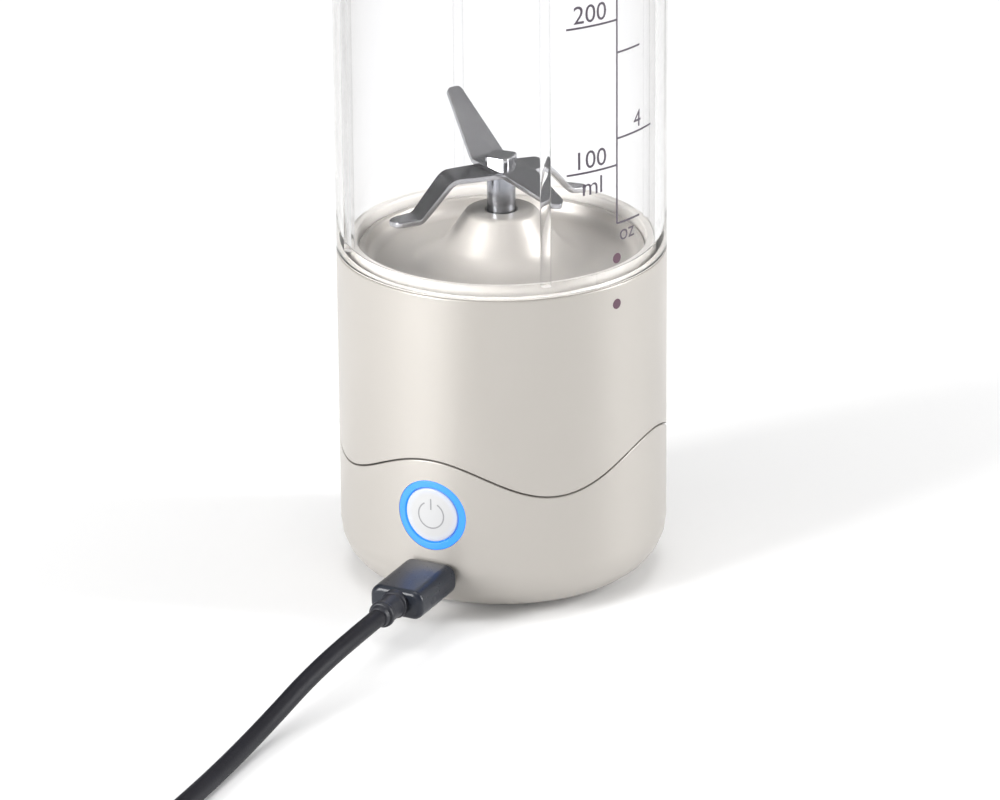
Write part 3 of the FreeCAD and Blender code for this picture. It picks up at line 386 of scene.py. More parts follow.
def opened(thing, *cutters):
    """Cuts holes through a finished piece."""
    for cutter_mesh in cutters:
        mesh = bpy.data.meshes.new("cutter")
        cutter_mesh.to_mesh(mesh)
        cutter_mesh.free()
        cutter = bpy.data.objects.new("cutter", mesh)
        scene.collection.objects.link(cutter)
        thing.modifiers.clear()
        cut = thing.modifiers.new("hole", "BOOLEAN")
        cut.object = cutter
        cut.solver = "EXACT"
        bpy.context.view_layer.update()
        shape = bpy.data.meshes.new_from_object(
            thing.evaluated_get(bpy.context.evaluated_depsgraph_get()))
        thing.modifiers.remove(cut)
        thing.data = shape
        bpy.data.objects.remove(cutter)
    thing.data.set_sharp_from_angle(angle=math.radians(32.0))
    thing.modifiers.new("flat_walls", "WEIGHTED_NORMAL").keep_sharp = True


lower_top = 40.0
lower = spun([(0, 1.2, 0), (18.5, 1.2, 0.3), (18.5, 1.8, 0), (23.8, 1.8, 0), (23.8, 1.2, 0),
              (base_radius, 1.2, 10.4), (base_radius, lower_top, 0), (housing_bore, lower_top, 0),
              (housing_bore, 3.4, 8.2), (0, 3.4, 0)], 256)
waved(lower, lower_top, -half_groove, 0.3)
lower_shell = piece("lower_shell", lower, "base", "pearl_plastic", pearl, "lower_housing")
button_hole = moved(spun([(0, 25, 0), (7.7, 25, 0), (7.7, 40, 0), (0, 40, 0)], 96),
                    (90.0, "X"), (0.0, 0.0, button_height))
port_hole = boxed((-4.67, -36.0, 8.4), (4.67, -28.0, 12.0))
soften(port_hole, edges_along(port_hole, 1), 1.75, 6)
opened(lower_shell, button_hole, port_hole)


# Upper housing. The same pearl moulding carries on up to the cup's seat; a
# fine groove marks where it meets the lower one.
upper_bottom = 20.0
seam_height = 72.0
upper = spun([(housing_bore, upper_bottom, 0), (base_radius, upper_bottom, 0),
              (base_radius, seam_height, 0.45), (33.0, seam_height, 0.3), (33.0, 60.6, 0),
              (23.0, 60.6, 0), (23.0, 58.4, 0), (housing_bore, 58.4, 0)], 256)
waved(upper, upper_bottom, half_groove, 0.3)
piece("upper_shell", upper, "base", "pearl_plastic", pearl, "upper_housing")


# Blade platform. A shallow dish with a cone at its middle that carries the
# shaft; food falls back to the blades from its slope.
platform = spun([(27.6, 60.6, 0), (32.9, 60.6, 0), (32.9, 62.6, 0), (29.8, 62.6, 0),
                 (29.8, 72.2, 0.4), (28.5, 72.2, 0.4), (27.8, 68.8, 1.8), (14.6, 68.8, 5.0),
                 (7.3, 79.7, 0.8), (3.4, 79.7, 0.2), (3.4, 77.9, 0), (5.2, 77.9, 0),
                 (5.2, 64.3, 0), (8.2, 64.3, 0), (8.2, 66.6, 0), (27.6, 66.6, 0)], 192)
piece("blade_dish", platform, "base", "pearl_plastic", pearl, "blade_platform")


# Foot. A soft black ring pressed into the bottom; the base stands on it.
foot_rubber = material("foot_rubber", (0.020, 0.020, 0.021), (0.035, 0.035, 0.036), 0.75,
                       spread=0.2, grain=2000.0, depth=0.00004)
foot = spun([(18.5, 0.0, 0.4), (23.8, 0.0, 0.4), (23.8, 1.8, 0), (18.5, 1.8, 0)], 160)
piece("foot_pad", foot, "base", "dark_rubber", foot_rubber, "foot_ring")


# Power button. A pearl cap in a clear ring that a blue lamp lights from
# behind, with a painted blue glow on the cap's rim; the ring and the cap
# follow the wall's curve.
def on_wall(made, wall_radius, deepest):
    """Lays the front of a mesh, made flat at -Y, on the round wall."""
    for v in made.verts:
        if v.co.y < deepest * mm:
            v.co.y += wall_radius * mm - math.sqrt((wall_radius * mm) ** 2 - v.co.x ** 2)


lit_ring = material("lit_ring", (0.02, 0.10, 0.45), (0.02, 0.12, 0.5), 0.35, spread=0.05,
                    grain=900.0, depth=0.000004)
ring_shader = lit_ring.node_tree.nodes["Principled BSDF"]
socket_set(ring_shader, "Emission Color", (0.030, 0.280, 1.0, 1.0))
socket_set(ring_shader, "Emission Strength", 0.95)
ring_mesh = moved(spun([(6.2, 32.4, 0), (7.6, 32.4, 0), (7.6, base_radius, 0.12),
                        (6.2, base_radius, 0.12)], 96),
                  (90.0, "X"), (0.0, 0.0, button_height))
on_wall(ring_mesh, base_radius, -33.5)
piece("lit_button_ring", ring_mesh, "base", "glow_plastic", lit_ring, "light_ring")
button_pearl = material("button_pearl", (0.47, 0.47, 0.475), (0.455, 0.46, 0.465), 0.36,
                        spread=0.05, patch=60.0, grain=5200.0, depth=0.0000016, coat=0.4)
button_tree = button_pearl.node_tree
button_radius = 5.9
button_face = 34.4
button_shader = button_tree.nodes["Principled BSDF"]
# Painted glow: blue emission on the cap that rises towards its rim, standing in for the ring's lamp
# light falling on the cap.
axis_place = button_tree.nodes.new("ShaderNodeTexCoord")
from_axis = button_tree.nodes.new("ShaderNodeMapping")
from_axis.inputs["Location"].default_value = (0.0, 0.0, -button_height * mm)
flat_reach = button_tree.nodes.new("ShaderNodeVectorMath")
flat_reach.operation = "MULTIPLY"
flat_reach.inputs[1].default_value = (1.0, 0.0, 1.0)
reach = button_tree.nodes.new("ShaderNodeVectorMath")
reach.operation = "LENGTH"
fade = button_tree.nodes.new("ShaderNodeMapRange")
fade.interpolation_type = "SMOOTHSTEP"
socket_set(fade, "From Min", 4.2 * mm)
socket_set(fade, "From Max", 6.1 * mm)
socket_set(fade, "To Min", 0.0)
socket_set(fade, "To Max", 0.8)
painted_rim_glow = button_tree.nodes.new("ShaderNodeMix")
painted_rim_glow.data_type = "RGBA"
painted_rim_glow.inputs[6].default_value = (0.0, 0.0, 0.0, 1.0)
painted_rim_glow.inputs[7].default_value = (0.05, 0.22, 0.70, 1.0)
link = button_tree.links.new
link(axis_place.outputs["Object"], from_axis.inputs["Vector"])
link(from_axis.outputs["Vector"], flat_reach.inputs[0])
link(flat_reach.outputs[0], reach.inputs[0])
link(reach.outputs["Value"], fade.inputs["Value"])
link(fade.outputs["Result"], painted_rim_glow.inputs["Factor"])
link(painted_rim_glow.outputs[2], button_shader.inputs["Emission Color"])
socket_set(button_shader, "Emission Strength", 0.3)
cap_mesh = moved(spun([(0, 31.4, 0), (6.8, 31.4, 0), (6.8, 32.35, 0), (button_radius, 32.35, 0),
                       (button_radius, button_face, 0.3), (0, button_face, 0)], 96),
                 (90.0, "X"), (0.0, 0.0, button_height))
spokes = [e for e in cap_mesh.edges
          if any(math.hypot(v.co.x, v.co.z - button_height * mm) < 1e-6 for v in e.verts)]
bmesh.ops.subdivide_edges(cap_mesh, edges=spokes, cuts=10)
on_wall(cap_mesh, button_face, -33.0)
piece("button_cap", cap_mesh, "button", "pearl_plastic", button_pearl, "power_button")


# Power sign. Thin grey ink on the button: an open ring with a bar at its gap.
ink_grey = material("button_ink", (0.26, 0.26, 0.27), (0.24, 0.24, 0.25), 0.5, spread=0.05,
                    grain=3000.0, depth=0.000002)
ink_front, ink_back = -34.43, -34.30
ring_inner, ring_outer = 2.72, 3.02
ring_opening = 60.0
sign_ring = bmesh.new()
sign_square = [sign_ring.verts.new((x * mm, y * mm, 0.0)) for x, y in
               ((ring_inner, ink_front), (ring_outer, ink_front), (ring_outer, ink_back),
                (ring_inner, ink_back))]
sign_ring.faces.new(sign_square)
bmesh.ops.rotate(sign_ring, cent=(0, 0, 0), verts=sign_square,
                 matrix=Matrix.Rotation(math.radians(-60.0), 3, "Y"))
bmesh.ops.spin(sign_ring, geom=sign_ring.verts[:] + sign_ring.edges[:] + sign_ring.faces[:],
               cent=(0, 0, 0), axis=(0, 1, 0), angle=math.radians(360.0 - ring_opening), steps=60)
sign_bar = boxed((-0.15, ink_front, 1.2), (0.15, ink_back, 3.6))
sign_mesh = moved(joined(sign_ring, sign_bar), None, (0.0, 0.0, button_height))
bmesh.ops.remove_doubles(sign_mesh, verts=sign_mesh.verts, dist=1e-7)
bmesh.ops.recalc_face_normals(sign_mesh, faces=sign_mesh.faces)
on_wall(sign_mesh, button_face, -33.0)
piece("power_sign", sign_mesh, "button", "pearl_plastic", ink_grey)


# Shaft sleeve and nut. Dark polished steel; the sleeve covers the shaft above
# the cone and the square nut clamps the two blades.
polished = material("polished_steel", (0.34, 0.35, 0.38), (0.26, 0.27, 0.30), 0.12, spread=0.08,
                    grain=2200.0, depth=0.000001, metallic=1.0, stretch=(1.0, 1.0, 0.05))
sleeve = spun([(1.6, 78.7, 0), (3.0, 78.7, 0), (3.0, 87.6, 0.25), (1.6, 87.6, 0)], 96)
piece("shaft_sleeve", sleeve, "rotor", "bright_steel", polished, "blade_sleeve")
nut = boxed((-2.7, -2.7, 90.0), (2.7, 2.7, 91.7))
soften(nut, edges_along(nut, 2), 1.0, 5)
soften(nut, edges_past(nut, 2, 91.6), 0.4, 4)
nut_steel = material("nut_steel", (0.60, 0.60, 0.61), (0.50, 0.50, 0.52), 0.16, spread=0.1,
                     grain=1800.0, depth=0.000003, metallic=1.0)
piece("clamp_nut", nut, "rotor", "bright_steel", nut_steel, "blade_nut")


# Blades. Two stamped stainless strips, bent on a press: the lower one's arms
# reach down into the dish, and one arm of the upper one stands up.
# The steel's colour mottles between bright and dark patches: partly the steel's own uneven tone,
# mostly painted reflection.
blade_steel = material("blade_steel", (0.66, 0.66, 0.67), (0.26, 0.26, 0.28), 0.20, spread=0.18,
                       patch=70.0, grain=420.0, depth=0.000006, metallic=1.0,
                       stretch=(1.0, 9.0, 1.0))


sheet_thickness = 1.2
bend_steps = (-0.8, -0.4, 0.0, 0.4, 0.8)


def bent_blade(spine, plan, turn):
    """A sheet cut to its plan, bent along the spine's corners, given its thickness and turned."""
    made = bmesh.new()
    made.faces.new([made.verts.new((x * mm, y * mm, 0.0)) for x, y, _ in plan])
    tips = [(v, size) for v, (x, y, size) in zip(list(made.verts), plan)]
    for size in sorted({size for _, size in tips}):
        chosen = [v for v, s in tips if s == size and v.is_valid]
        bmesh.ops.bevel(made, geom=chosen, offset=size * mm, segments=4, profile=0.5,
                        affect="VERTICES", material=-1)
    for x, _ in spine[1:-1]:
        for step in bend_steps:
            bmesh.ops.bisect_plane(made, geom=made.verts[:] + made.edges[:] + made.faces[:],
                                   dist=1e-7, plane_co=((x + step) * mm, 0, 0), plane_no=(1, 0, 0))

    def level(x):
        total = 0.0
        for offset in bend_steps:
            at_x = min(max(x + offset, spine[0][0]), spine[-1][0])
            for (x0, z0), (x1, z1) in zip(spine, spine[1:]):
                if x0 <= at_x <= x1:
                    total += z0 + (z1 - z0) * (at_x - x0) / (x1 - x0)
                    break
        return total / len(bend_steps)

    for v in made.verts:
        v.co.z = level(v.co.x / mm) * mm
    bmesh.ops.recalc_face_normals(made, faces=made.faces)
    if sum(f.normal.z for f in made.faces) > 0.0:
        bmesh.ops.reverse_faces(made, faces=made.faces)
    bmesh.ops.solidify(made, geom=made.faces[:], thickness=sheet_thickness * mm)
    rims = [e for e in made.edges if len(e.link_faces) == 2
            and e.link_faces[0].normal.angle(e.link_faces[1].normal, 0.0) > 1.0]
    soften(made, rims, 0.16, 2)
    bmesh.ops.recalc_face_normals(made, faces=made.faces)
    return moved(made, (turn, "Z"))


lower_blade = bent_blade(
    [(-24.8, 79.2), (-18.4, 79.6), (-11.5, 87.6), (9.5, 87.6), (14.8, 81.4), (19.8, 80.4)],
    [(-24.8, 0.6, 0.5), (-23.8, -2.2, 1.0), (-5.5, -4.0, 2.0), (5.5, -4.0, 2.0), (18.8, -0.6, 0.5),
     (19.8, 1.8, 0.8), (18.4, 2.6, 1.0), (5.5, 4.0, 2.0), (-5.5, 4.0, 2.0), (-23.4, 2.2, 1.0)],
    48.0)
piece("lower_blade_steel", lower_blade, "rotor", "blade_steel", blade_steel, "lower_blade",
      crease=24.0)
upper_blade = bent_blade(
    [(-20.6, 101.0), (-5.4, 88.8), (7.0, 88.8), (22.6, 86.2)],
    [(-19.6, -1.4, 0.8), (-5.5, -4.0, 2.0), (5.5, -4.0, 2.0), (21.6, -1.6, 0.6), (22.6, 0.2, 0.6),
     (21.0, 1.8, 0.8), (5.5, 4.0, 2.0), (-5.5, 4.0, 2.0), (-19.6, 1.8, 0.8)], -32.0)
piece("upper_blade_steel", upper_blade, "rotor", "blade_steel", blade_steel, "upper_blade",
      crease=24.0)


# Inside the base. A small brushed motor hangs under its plate between two
# lithium cells; two boards, the switch and the lamps stand behind the front.
inner_finishes = {
    "dark_rubber": material("seal_rubber", (0.03, 0.03, 0.03), (0.05, 0.05, 0.05), 0.7,
                            grain=1200.0),
    "steel_screw": material("screw_steel", (0.42, 0.42, 0.43), (0.32, 0.32, 0.33), 0.35, spread=0.3,
                            metallic=1.0),
    "bronze": material("bushing_bronze", (0.45, 0.27, 0.12), (0.36, 0.20, 0.09), 0.4, spread=0.3,
                       grain=3000.0, depth=0.00003, metallic=1.0),
    "steel_plate": material("zinc_plate", (0.50, 0.50, 0.50), (0.40, 0.41, 0.42), 0.38, spread=0.3,
                            patch=300.0, metallic=1.0),
    "black_plastic": material("board_black", (0.015, 0.015, 0.015), (0.03, 0.03, 0.03), 0.55),
    "ferrite": material("ferrite", (0.05, 0.05, 0.055), (0.08, 0.08, 0.085), 0.8, spread=0.2,
                        grain=2500.0, depth=0.00004),
    "carbon": material("carbon", (0.03, 0.03, 0.03), (0.05, 0.05, 0.05), 0.6, grain=3000.0),
    "copper": material("copper", (0.60, 0.25, 0.10), (0.45, 0.18, 0.07), 0.35, spread=0.3,
                       grain=900.0, depth=0.00004, metallic=1.0, stretch=(1.0, 1.0, 6.0)),
    "core_steel": material("core_steel", (0.28, 0.28, 0.29), (0.20, 0.20, 0.21), 0.45, spread=0.2,
                           grain=700.0, depth=0.00005, metallic=1.0, stretch=(0.1, 0.1, 4.0)),
    "bright_steel": nut_steel,
    "cell_wrap": material("cell_wrap", (0.02, 0.16, 0.20), (0.025, 0.18, 0.22), 0.3, coat=0.3),
    "grey_plastic": material("grey_plastic", (0.20, 0.20, 0.21), (0.24, 0.24, 0.25), 0.55),
    "nickel": nickel,
    "circuit_board": material("circuit_board", (0.01, 0.10, 0.035), (0.02, 0.15, 0.05), 0.35,
                              patch=500.0, grain=700.0, depth=0.00003),
    "led_plastic": material("led_lens", (0.55, 0.65, 0.85), (0.60, 0.70, 0.90), 0.2),
    "red_wire": material("red_wire", (0.42, 0.01, 0.01), (0.50, 0.015, 0.012), 0.4),
    "black_wire": material("black_wire", (0.012, 0.012, 0.012), (0.02, 0.02, 0.02), 0.4)}
slot_of = {row["node"]: row["material_slot"] for row in frame["record"]["subparts"]}
for name in ("housing_screws", "platform_screws", "plate_screws", "motor_screws", "shaft_bushing",
             "shaft_seal", "motor_plate", "motor_can", "motor_end_cap", "magnets", "brushes",
             "commutator", "armature_core", "armature_windings", "motor_shaft", "cell_left",
             "cell_right", "cell_tray", "cell_link", "charge_board", "main_board",
             "usb_receptacle", "receptacle_tongue", "tact_switch", "switch_plunger",
             "indicator_leds", "power_inductor", "motor_lead_red", "motor_lead_black",
             "cell_lead_red", "cell_lead_black"):
    painted(inner_finishes[slot_of[name]], name)


# Cup. One clear moulding: a round wall with four ribs inside, a milky neck
# that drops into the base, and a narrower mouth that the lid goes over.
def clear_material(name, colour, roughness, shadow):
    """Clear plastic that lets the light through to what stands in it, with painted grey shade where
    it is seen edge-on.
    """
    made = bpy.data.materials.new(name)
    made.use_nodes = True
    tree = made.node_tree
    shader = tree.nodes["Principled BSDF"]
    output = tree.nodes["Material Output"]
    socket_set(shader, "Base Color", (*colour, 1.0))
    socket_set(shader, "Transmission Weight", 1.0)
    socket_set(shader, "IOR", 1.06)
    socket_set(shader, "Coat Weight", 0.35)
    socket_set(shader, "Coat IOR", 1.4)
    socket_set(shader, "Roughness", roughness)
    surface = tree.nodes.new("ShaderNodeGroup")
    surface.node_tree = worked_surface
    for socket_name, value in (("Colour", (*colour, 1.0)),
                               ("Second colour", (*[part * 0.985 for part in colour], 1.0)),
                               ("Patch size", 25.0), ("Roughness", roughness),
                               ("Roughness spread", 0.02), ("Grain size", 60.0),
                               ("Grain depth", 0.00001), ("Stretch", (1.0, 1.0, 0.15))):
        socket_set(surface, socket_name, value)
    # Painted shade: the base colour turns grey (0.52, 0.51, 0.49) where the wall is seen edge-on,
    # for the darker look of the clear wall at its outline.
    edge = tree.nodes.new("ShaderNodeLayerWeight")
    socket_set(edge, "Blend", 0.5)
    steep = tree.nodes.new("ShaderNodeMath")
    steep.operation = "POWER"
    steep.inputs[1].default_value = 3.0
    painted_edge_shade = tree.nodes.new("ShaderNodeMix")
    painted_edge_shade.data_type = "RGBA"
    painted_edge_shade.inputs[7].default_value = (0.52, 0.51, 0.49, 1.0)
    tree.links.new(edge.outputs["Facing"], steep.inputs[0])
    tree.links.new(steep.outputs[0], painted_edge_shade.inputs["Factor"])
    tree.links.new(surface.outputs["Colour"], painted_edge_shade.inputs[6])
    tree.links.new(painted_edge_shade.outputs[2], shader.inputs["Base Color"])
    tree.links.new(surface.outputs["Roughness"], shader.inputs["Roughness"])
    tree.links.new(surface.outputs["Normal"], shader.inputs["Normal"])
    through = tree.nodes.new("ShaderNodeBsdfTransparent")
    socket_set(through, "Color", (shadow, shadow, shadow, 1.0))
    path = tree.nodes.new("ShaderNodeLightPath")
    choose = tree.nodes.new("ShaderNodeMixShader")
    tree.links.new(path.outputs["Is Shadow Ray"], choose.inputs[0])
    tree.links.new(shader.outputs[0], choose.inputs[1])
    tree.links.new(through.outputs[0], choose.inputs[2])
    tree.links.new(choose.outputs[0], output.inputs["Surface"])
    return made


clear_plastic = clear_material("clear_plastic", (0.985, 0.985, 0.99), 0.03, 0.97)
cup_radius = 34.5
cup_bore = 32.0
shoulder_height = 188.0
cup_mesh = spun([(30.2, 64.2, 0), (31.7, 64.2, 0.3), (31.7, seam_height, 0),
                 (cup_radius, seam_height, 0.4), (cup_radius, shoulder_height, 1.2),
                 (31.4, shoulder_height, 0.4), (31.4, 200.0, 0.5), (29.4, 200.0, 0.5),
                 (29.4, shoulder_height, 0), (cup_bore, 184.0, 0), (cup_bore, 74.2, 0.8),
                 (30.2, 74.2, 0.4)], 256)
rib_low, rib_high, rib_radius = 74.0, 182.0, 1.1
ribs = []
for turn in (42.0, 132.0, 222.0, 312.0):
    rib = moved(spun([(0, rib_low, 0), (rib_radius, rib_low, 0), (rib_radius, rib_high, 0.5),
                      (0, rib_high, 0)], 20), None, (0.0, -32.35, 0.0))
    ribs.append(moved(rib, (turn, "Z")))
cup_body = piece("cup_shell", joined(cup_mesh, *ribs), "cup", "clear_plastic", clear_plastic, "cup")
milky_lip = material("milky_lip", (0.76, 0.735, 0.70), (0.74, 0.715, 0.68), 0.30, spread=0.05,
                     patch=60.0, grain=3000.0, depth=0.000002)
socket_set(milky_lip.node_tree.nodes["Principled BSDF"], "Transmission Weight", 0.3)
cup_body.data.materials.append(milky_lip)
lip_top = 74.5
for face in cup_body.data.polygons:
    if face.center.z < lip_top * mm:
        face.material_index = 1
silicone = clear_material("clear_silicone", (0.90, 0.90, 0.90), 0.35, 0.8)
gasket = spun([(30.2, 62.6, 0.3), (31.7, 62.6, 0.3), (31.7, 64.2, 0), (30.2, 64.2, 0)], 160)
piece("cup_gasket", gasket, "seal_ring", "clear_silicone", silicone, "cup_seal")


# Volume scale. Dark ink printed on the cup: millilitres left of the line and
# ounces right of it, with an alignment dot below and another on the base.
print_ink = material("print_ink", (0.055, 0.043, 0.062), (0.070, 0.055, 0.078), 0.5, spread=0.1,
                     grain=2500.0, depth=0.000003)
dot_ink = material("dot_ink", (0.075, 0.026, 0.050), (0.090, 0.032, 0.060), 0.45, spread=0.1,
                   grain=2500.0, depth=0.000003)
scale_turn = 69.0
print_step = 0.6


def printed(flat, turn, height):
    """Rolls a flat print, x along the wall and y up, onto the round wall."""
    low = min(v.co.x for v in flat.verts)
    high = max(v.co.x for v in flat.verts)
    cuts = max(2, int((high - low) / (print_step * mm)))
    for number in range(1, cuts):
        bmesh.ops.bisect_plane(flat, geom=flat.verts[:] + flat.edges[:] + flat.faces[:], dist=1e-8,
                               plane_co=(low + (high - low) * number / cuts, 0, 0),
                               plane_no=(1, 0, 0))
    for v in flat.verts:
        angle = math.radians(turn) + v.co.x / (cup_radius * mm)
        reach = cup_radius * mm + v.co.z
        v.co = (reach * math.sin(angle), -reach * math.cos(angle), height * mm + v.co.y)
    return flat


def stroke(x0, x1, y0, y1):
    return boxed((x0, y0, -0.01), (x1, y1, 0.03))


def lettering(words, size, centre_x, foot_y):
    """A few letters or figures as a thin flat mesh, in millimetres."""
    curve = bpy.data.curves.new("print", "FONT")
    curve.body = words
    curve.size = size * mm
    curve.extrude = 0.015 * mm
    curve.align_x = "CENTER"
    curve.resolution_u = 4
    thing = bpy.data.objects.new("print", curve)
    scene.collection.objects.link(thing)
    bpy.context.view_layer.update()
    mesh = bpy.data.meshes.new_from_object(
        thing.evaluated_get(bpy.context.evaluated_depsgraph_get()))
    bpy.data.objects.remove(thing)
    flat = bmesh.new()
    flat.from_mesh(mesh)
    bpy.data.meshes.remove(mesh)
    bmesh.ops.remove_doubles(flat, verts=flat.verts, dist=1e-8)
    bmesh.ops.translate(flat, vec=(centre_x * mm, foot_y * mm, 0.015 * mm), verts=flat.verts)
    return flat


def ml_height(millilitres):
    """The height of a mark: the first, 100 ml, stands at 98 mm, and 1 ml rises 0.31 mm."""
    return 98.0 + (millilitres - 100.0) * 0.31


def ounce_height(ounces):
    return ml_height(ounces * 29.57)


half_line = 0.21
scale_parts = [printed(stroke(-half_line, half_line, ounce_height(2.0), ounce_height(12.0)),
                       scale_turn, 0.0)]
for millilitres in (100, 200, 300):
    height = ml_height(millilitres)
    scale_parts.append(printed(stroke(-12.3, 0.0, -half_line, half_line), scale_turn, height))
    scale_parts.append(printed(lettering(str(millilitres), 5.4, -6.8, 0.9), scale_turn, height))
scale_parts.append(printed(lettering("ml", 5.4, -6.3, -4.9), scale_turn, ml_height(100)))
for ounces in range(2, 13, 2):
    height = ounce_height(ounces)
    labelled = ounces % 4 == 0
    scale_parts.append(printed(stroke(0.0, 11.6 if labelled else 7.1, -half_line, half_line),
                               scale_turn, height))
    if labelled:
        scale_parts.append(printed(lettering(str(ounces), 5.2, 6.4, 0.9), scale_turn, height))
scale_parts.append(printed(lettering("oz", 4.8, 3.0, -3.9), scale_turn, ounce_height(2.0)))
piece("volume_scale", joined(*scale_parts), "cup", "clear_plastic", print_ink)


def dot(height):
    """One of the two alignment dots that show where the cup locks."""
    flat = bmesh.new()
    dot_radius = 1.1 * mm
    bmesh.ops.create_cone(flat, cap_ends=True, segments=40, radius1=dot_radius,
                          radius2=dot_radius, depth=0.04 * mm)
    bmesh.ops.translate(flat, vec=(0, 0, 0.01 * mm), verts=flat.verts)
    return printed(flat, scale_turn, height)


piece("cup_dot", dot(77.8), "cup", "clear_plastic", dot_ink)
piece("base_dot", dot(67.8), "base", "pearl_plastic", dot_ink)


# Lid. A pearl cap screws over the cup's mouth; it has a short spout, two pairs
# of ears for the hinges, and a silicone ring that seals on the cup's rim.
def thread_lugs(wall_radius, low, turns_deg, height, thick, count=3):
    """Short ramps of a coarse thread inside a wall, rising 24 mm in a full turn."""
    thread_lead = 24.0
    steps = 12
    rise = thread_lead * turns_deg / 360.0 / steps
    near, far = wall_radius - height, wall_radius + 0.3
    ramps = []
    for number in range(count):
        ramp = bmesh.new()
        start = [ramp.verts.new((r * mm, 0.0, z * mm)) for r, z in
                 ((near, low), (far, low + 0.3), (far, low + thick - 0.3), (near, low + thick))]
        section = ramp.faces.new(start)
        bmesh.ops.spin(ramp, geom=[section] + section.edges[:] + start, cent=(0, 0, 0),
                       axis=(0, 0, 1), dvec=(0, 0, rise * mm), angle=math.radians(turns_deg),
                       steps=steps)
        bmesh.ops.recalc_face_normals(ramp, faces=ramp.faces)
        ramps.append(moved(ramp, (360.0 / count * number, "Z")))
    return ramps


lid_foot, lid_ceiling, lid_height = 188.3, 201.4, 203.8
lid_bore = 32.7
spout_y = -15.0
lid_mesh = spun([(lid_bore, lid_foot, 0.2), (cup_radius, lid_foot, 0.3),
                 (cup_radius, lid_height, 2.8), (0, lid_height, 0), (0, lid_ceiling, 0),
                 (lid_bore, lid_ceiling, 0.8)], 256)
lid_top = piece("lid_shell", lid_mesh, "lid", "pearl_plastic", pearl, "lid")
spout_bore = moved(spun([(0, 195, 0), (7.0, 195, 0), (7.0, 215, 0), (0, 215, 0)], 96), None,
                   (0.0, spout_y, 0.0))
opened(lid_top, spout_bore)
spout = moved(spun([(7.0, lid_ceiling, 0), (9.6, 201.6, 0), (9.6, lid_height, 0), (9.0, 204.4, 0.3),
                    (9.0, 210.0, 0.5), (7.0, 210.0, 0.5)], 96), None, (0.0, spout_y, 0.0))
ears = []
for low_x, high_x, low_y, high_y, top_z in ((4.3, 6.5, -4.5, 0.5, 212.0),
                                            (-6.5, -4.3, -4.5, 0.5, 212.0),
                                            (28.2, 30.7, -3.0, 3.0, 209.4),
                                            (-30.7, -28.2, -3.0, 3.0, 209.4)):
    ear = boxed((low_x, low_y, 203.0), (high_x, high_y, top_z))
    soften(ear, [e for e in ear.edges if all(v.co.z > (top_z - 0.1) * mm for v in e.verts)
                 and abs(e.verts[0].co.x - e.verts[1].co.x) > 1e-4], 2.3, 6)
    soften(ear, [e for e in ear.edges if len(e.link_faces) == 2
                 and e.link_faces[0].normal.angle(e.link_faces[1].normal, 0.0) > 1.2], 0.3, 3)
    ears.append(ear)
piece("lid_fittings", joined(spout, *ears, *thread_lugs(lid_bore, 192.9, 30.6, 0.9, 1.8)), "lid",
      "pearl_plastic", pearl)
gasket = spun([(29.6, 200.0, 0.2), (31.6, 200.0, 0.2), (31.6, 201.4, 0.2), (29.6, 201.4, 0.2)], 160)
piece("lid_gasket", gasket, "lid_ring", "clear_silicone", silicone, "lid_seal")
painted(nut_steel, "cap_pin", "loop_pins")


# Spout cap. A round pearl lid on a barrel hinge, with a silicone plug that
# closes the spout.
cap_disc = moved(spun([(0, 211.0, 0), (8.9, 211.0, 0), (8.9, 210.2, 0), (9.8, 210.2, 0.2),
                       (9.8, 212.8, 1.0), (0, 212.8, 0)], 96), None, (0.0, spout_y, 0.0))
cap_arm = boxed((-3.8, -6.4, 210.4), (3.8, -2.0, 212.2))
soften(cap_arm, edges_along(cap_arm, 1), 0.4, 3)
pin_clear = 1.26
cap_barrel = moved(spun([(pin_clear, -3.8, 0), (2.4, -3.8, 0.25), (2.4, 3.8, 0.25),
                         (pin_clear, 3.8, 0)], 48), (90.0, "Y"), (0.0, -2.0, 209.6))
piece("cap_shell", joined(cap_disc, cap_arm, cap_barrel), "cap", "pearl_plastic", pearl,
      "spout_cap")
stopper = moved(spun([(0, 208.4, 0), (6.6, 208.4, 0.3), (6.6, 210.0, 0), (8.9, 210.0, 0.1),
                      (8.9, 211.0, 0), (0, 211.0, 0)], 96), None, (0.0, spout_y, 0.0))
piece("cap_stopper", stopper, "cap", "clear_silicone", silicone, "spout_seal")


# Carry loop. A bent pearl rod folds over the lid on two steel pins.
loop_curve = bpy.data.curves.new("loop_path", "CURVE")
loop_curve.dimensions = "3D"
loop_curve.bevel_depth = 2.15 * mm
loop_curve.bevel_resolution = 8
loop_curve.resolution_u = 16
loop_height = 206.8
loop_half_width = 25.5
loop_spline = loop_curve.splines.new("NURBS")
loop_side = [(loop_half_width, 1.6), (loop_half_width, 11.0), (24.4, 18.6), (17.6, 26.6),
             (9.0, 27.0)]
loop_points = loop_side + [(-x, y) for x, y in reversed(loop_side)]
loop_spline.points.add(len(loop_points) - 1)
for spot, (x, y) in zip(loop_spline.points, loop_points):
    spot.co = (x * mm, y * mm, loop_height * mm, 1.0)
loop_spline.order_u = 3
loop_spline.use_endpoint_u = True
loop_path = bpy.data.objects.new("loop_path", loop_curve)
scene.collection.objects.link(loop_path)
bpy.context.view_layer.update()
loop_rod = bmesh.new()
loop_rod.from_mesh(bpy.data.meshes.new_from_object(
    loop_path.evaluated_get(bpy.context.evaluated_depsgraph_get())))
bpy.data.objects.remove(loop_path)
bmesh.ops.recalc_face_normals(loop_rod, faces=loop_rod.faces)
eyes = []
for x in (-loop_half_width, loop_half_width):
    eye = spun([(pin_clear, -2.4, 0), (2.6, -2.4, 0.3), (2.6, 2.4, 0.3), (pin_clear, 2.4, 0)], 48)
    eyes.append(moved(eye, (90.0, "Y"), (x, 0.0, loop_height)))
piece("carry_loop_rod", joined(loop_rod, *eyes), "loop", "pearl_plastic", pearl, "carry_loop")


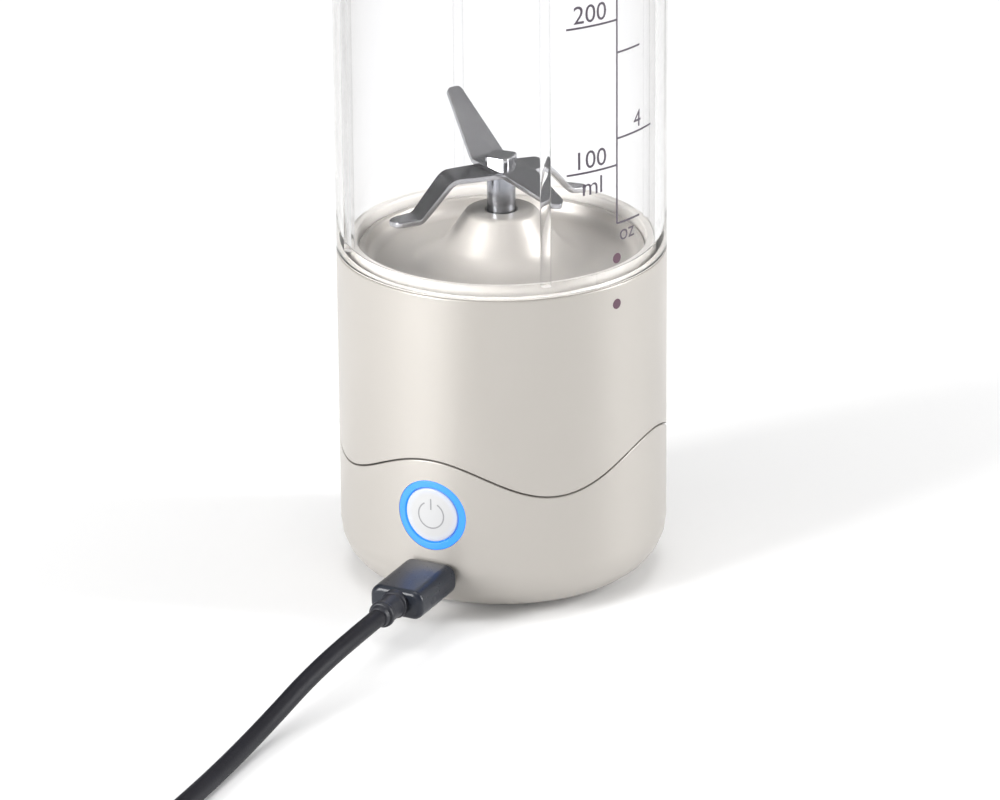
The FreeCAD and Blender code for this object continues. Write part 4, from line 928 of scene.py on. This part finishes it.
# Studio. A white table, a wide soft light from above, a soft key from the
# front left and a strip from the right; the room is bright, with dim sides.
floor_paint = material("table_white", (0.93, 0.93, 0.93), (0.92, 0.92, 0.92), 0.6, spread=0.02,
                       patch=2.0, grain=300.0, depth=0.000001)
floor_mesh = bmesh.new()
bmesh.ops.create_grid(floor_mesh, x_segments=1, y_segments=1, size=4.0)
table_data = bpy.data.meshes.new("table_top")
floor_mesh.to_mesh(table_data)
floor_mesh.free()
table_data.materials.append(floor_paint)
table_top = bpy.data.objects.new("table_top", table_data)
scene.collection.objects.link(table_top)


lit_height = 0.06


def soft_light(name, azimuth, rise, distance, width, height, power):
    """A soft box seen from the base at an azimuth and a rise, in degrees, aimed at the base."""
    data = bpy.data.lights.new(name, "AREA")
    data.shape = "RECTANGLE"
    data.size = width
    data.size_y = height
    data.energy = power
    lamp = bpy.data.objects.new(name, data)
    turn = math.radians(azimuth)
    up_turn = math.radians(rise)
    lamp.location = (distance * math.sin(turn) * math.cos(up_turn),
                     -distance * math.cos(turn) * math.cos(up_turn),
                     distance * math.sin(up_turn) + lit_height)
    toward = Vector((0, 0, lit_height)) - lamp.location
    lamp.rotation_euler = toward.to_track_quat("-Z", "Y").to_euler()
    scene.collection.objects.link(lamp)


soft_light("overhead", 0.0, 89.0, 1.6, 1.2, 1.2, 15.0)
soft_light("key", -28.0, 16.0, 1.7, 0.55, 1.0, 38.0)
soft_light("edge", 110.0, 18.0, 1.7, 0.35, 1.2, 28.0)
room = bpy.data.worlds.new("room")
scene.world = room
room.use_nodes = True
room_tree = room.node_tree
room_light = room_tree.nodes["Background"]
socket_set(room_light, "Strength", 0.5)
direction = room_tree.nodes.new("ShaderNodeTexCoord")
parts = room_tree.nodes.new("ShaderNodeSeparateXYZ")
round_room = room_tree.nodes.new("ShaderNodeMath")
round_room.operation = "ARCTAN2"
share = room_tree.nodes.new("ShaderNodeMapRange")
socket_set(share, "From Min", -math.pi)
socket_set(share, "From Max", math.pi)
walls = room_tree.nodes.new("ShaderNodeValToRGB")
walls.color_ramp.interpolation = "EASE"
wall_brightness = [(-180, 0.7), (-120, 0.2), (-70, 0.12), (-36, 0.9), (12, 0.9), (45, 0.2),
                   (68, 0.08), (88, 0.2), (116, 1.1), (150, 0.7), (180, 0.7)]
for number, (turn, level) in enumerate(wall_brightness):
    place_on_ramp = (turn + 180.0) / 360.0
    if number < 2:
        stop = walls.color_ramp.elements[number]
        stop.position = place_on_ramp
    else:
        stop = walls.color_ramp.elements.new(place_on_ramp)
    stop.color = (level, level, level, 1.0)
flip = room_tree.nodes.new("ShaderNodeMath")
flip.operation = "MULTIPLY"
flip.inputs[1].default_value = -1.0
link = room_tree.links.new
link(direction.outputs["Generated"], parts.inputs[0])
link(parts.outputs["Y"], flip.inputs[0])
link(parts.outputs["X"], round_room.inputs[0])
link(flip.outputs[0], round_room.inputs[1])
link(round_room.outputs[0], share.inputs["Value"])
link(share.outputs["Result"], walls.inputs["Fac"])
link(walls.outputs["Color"], room_light.inputs["Color"])
scene.view_settings.view_transform = "Standard"
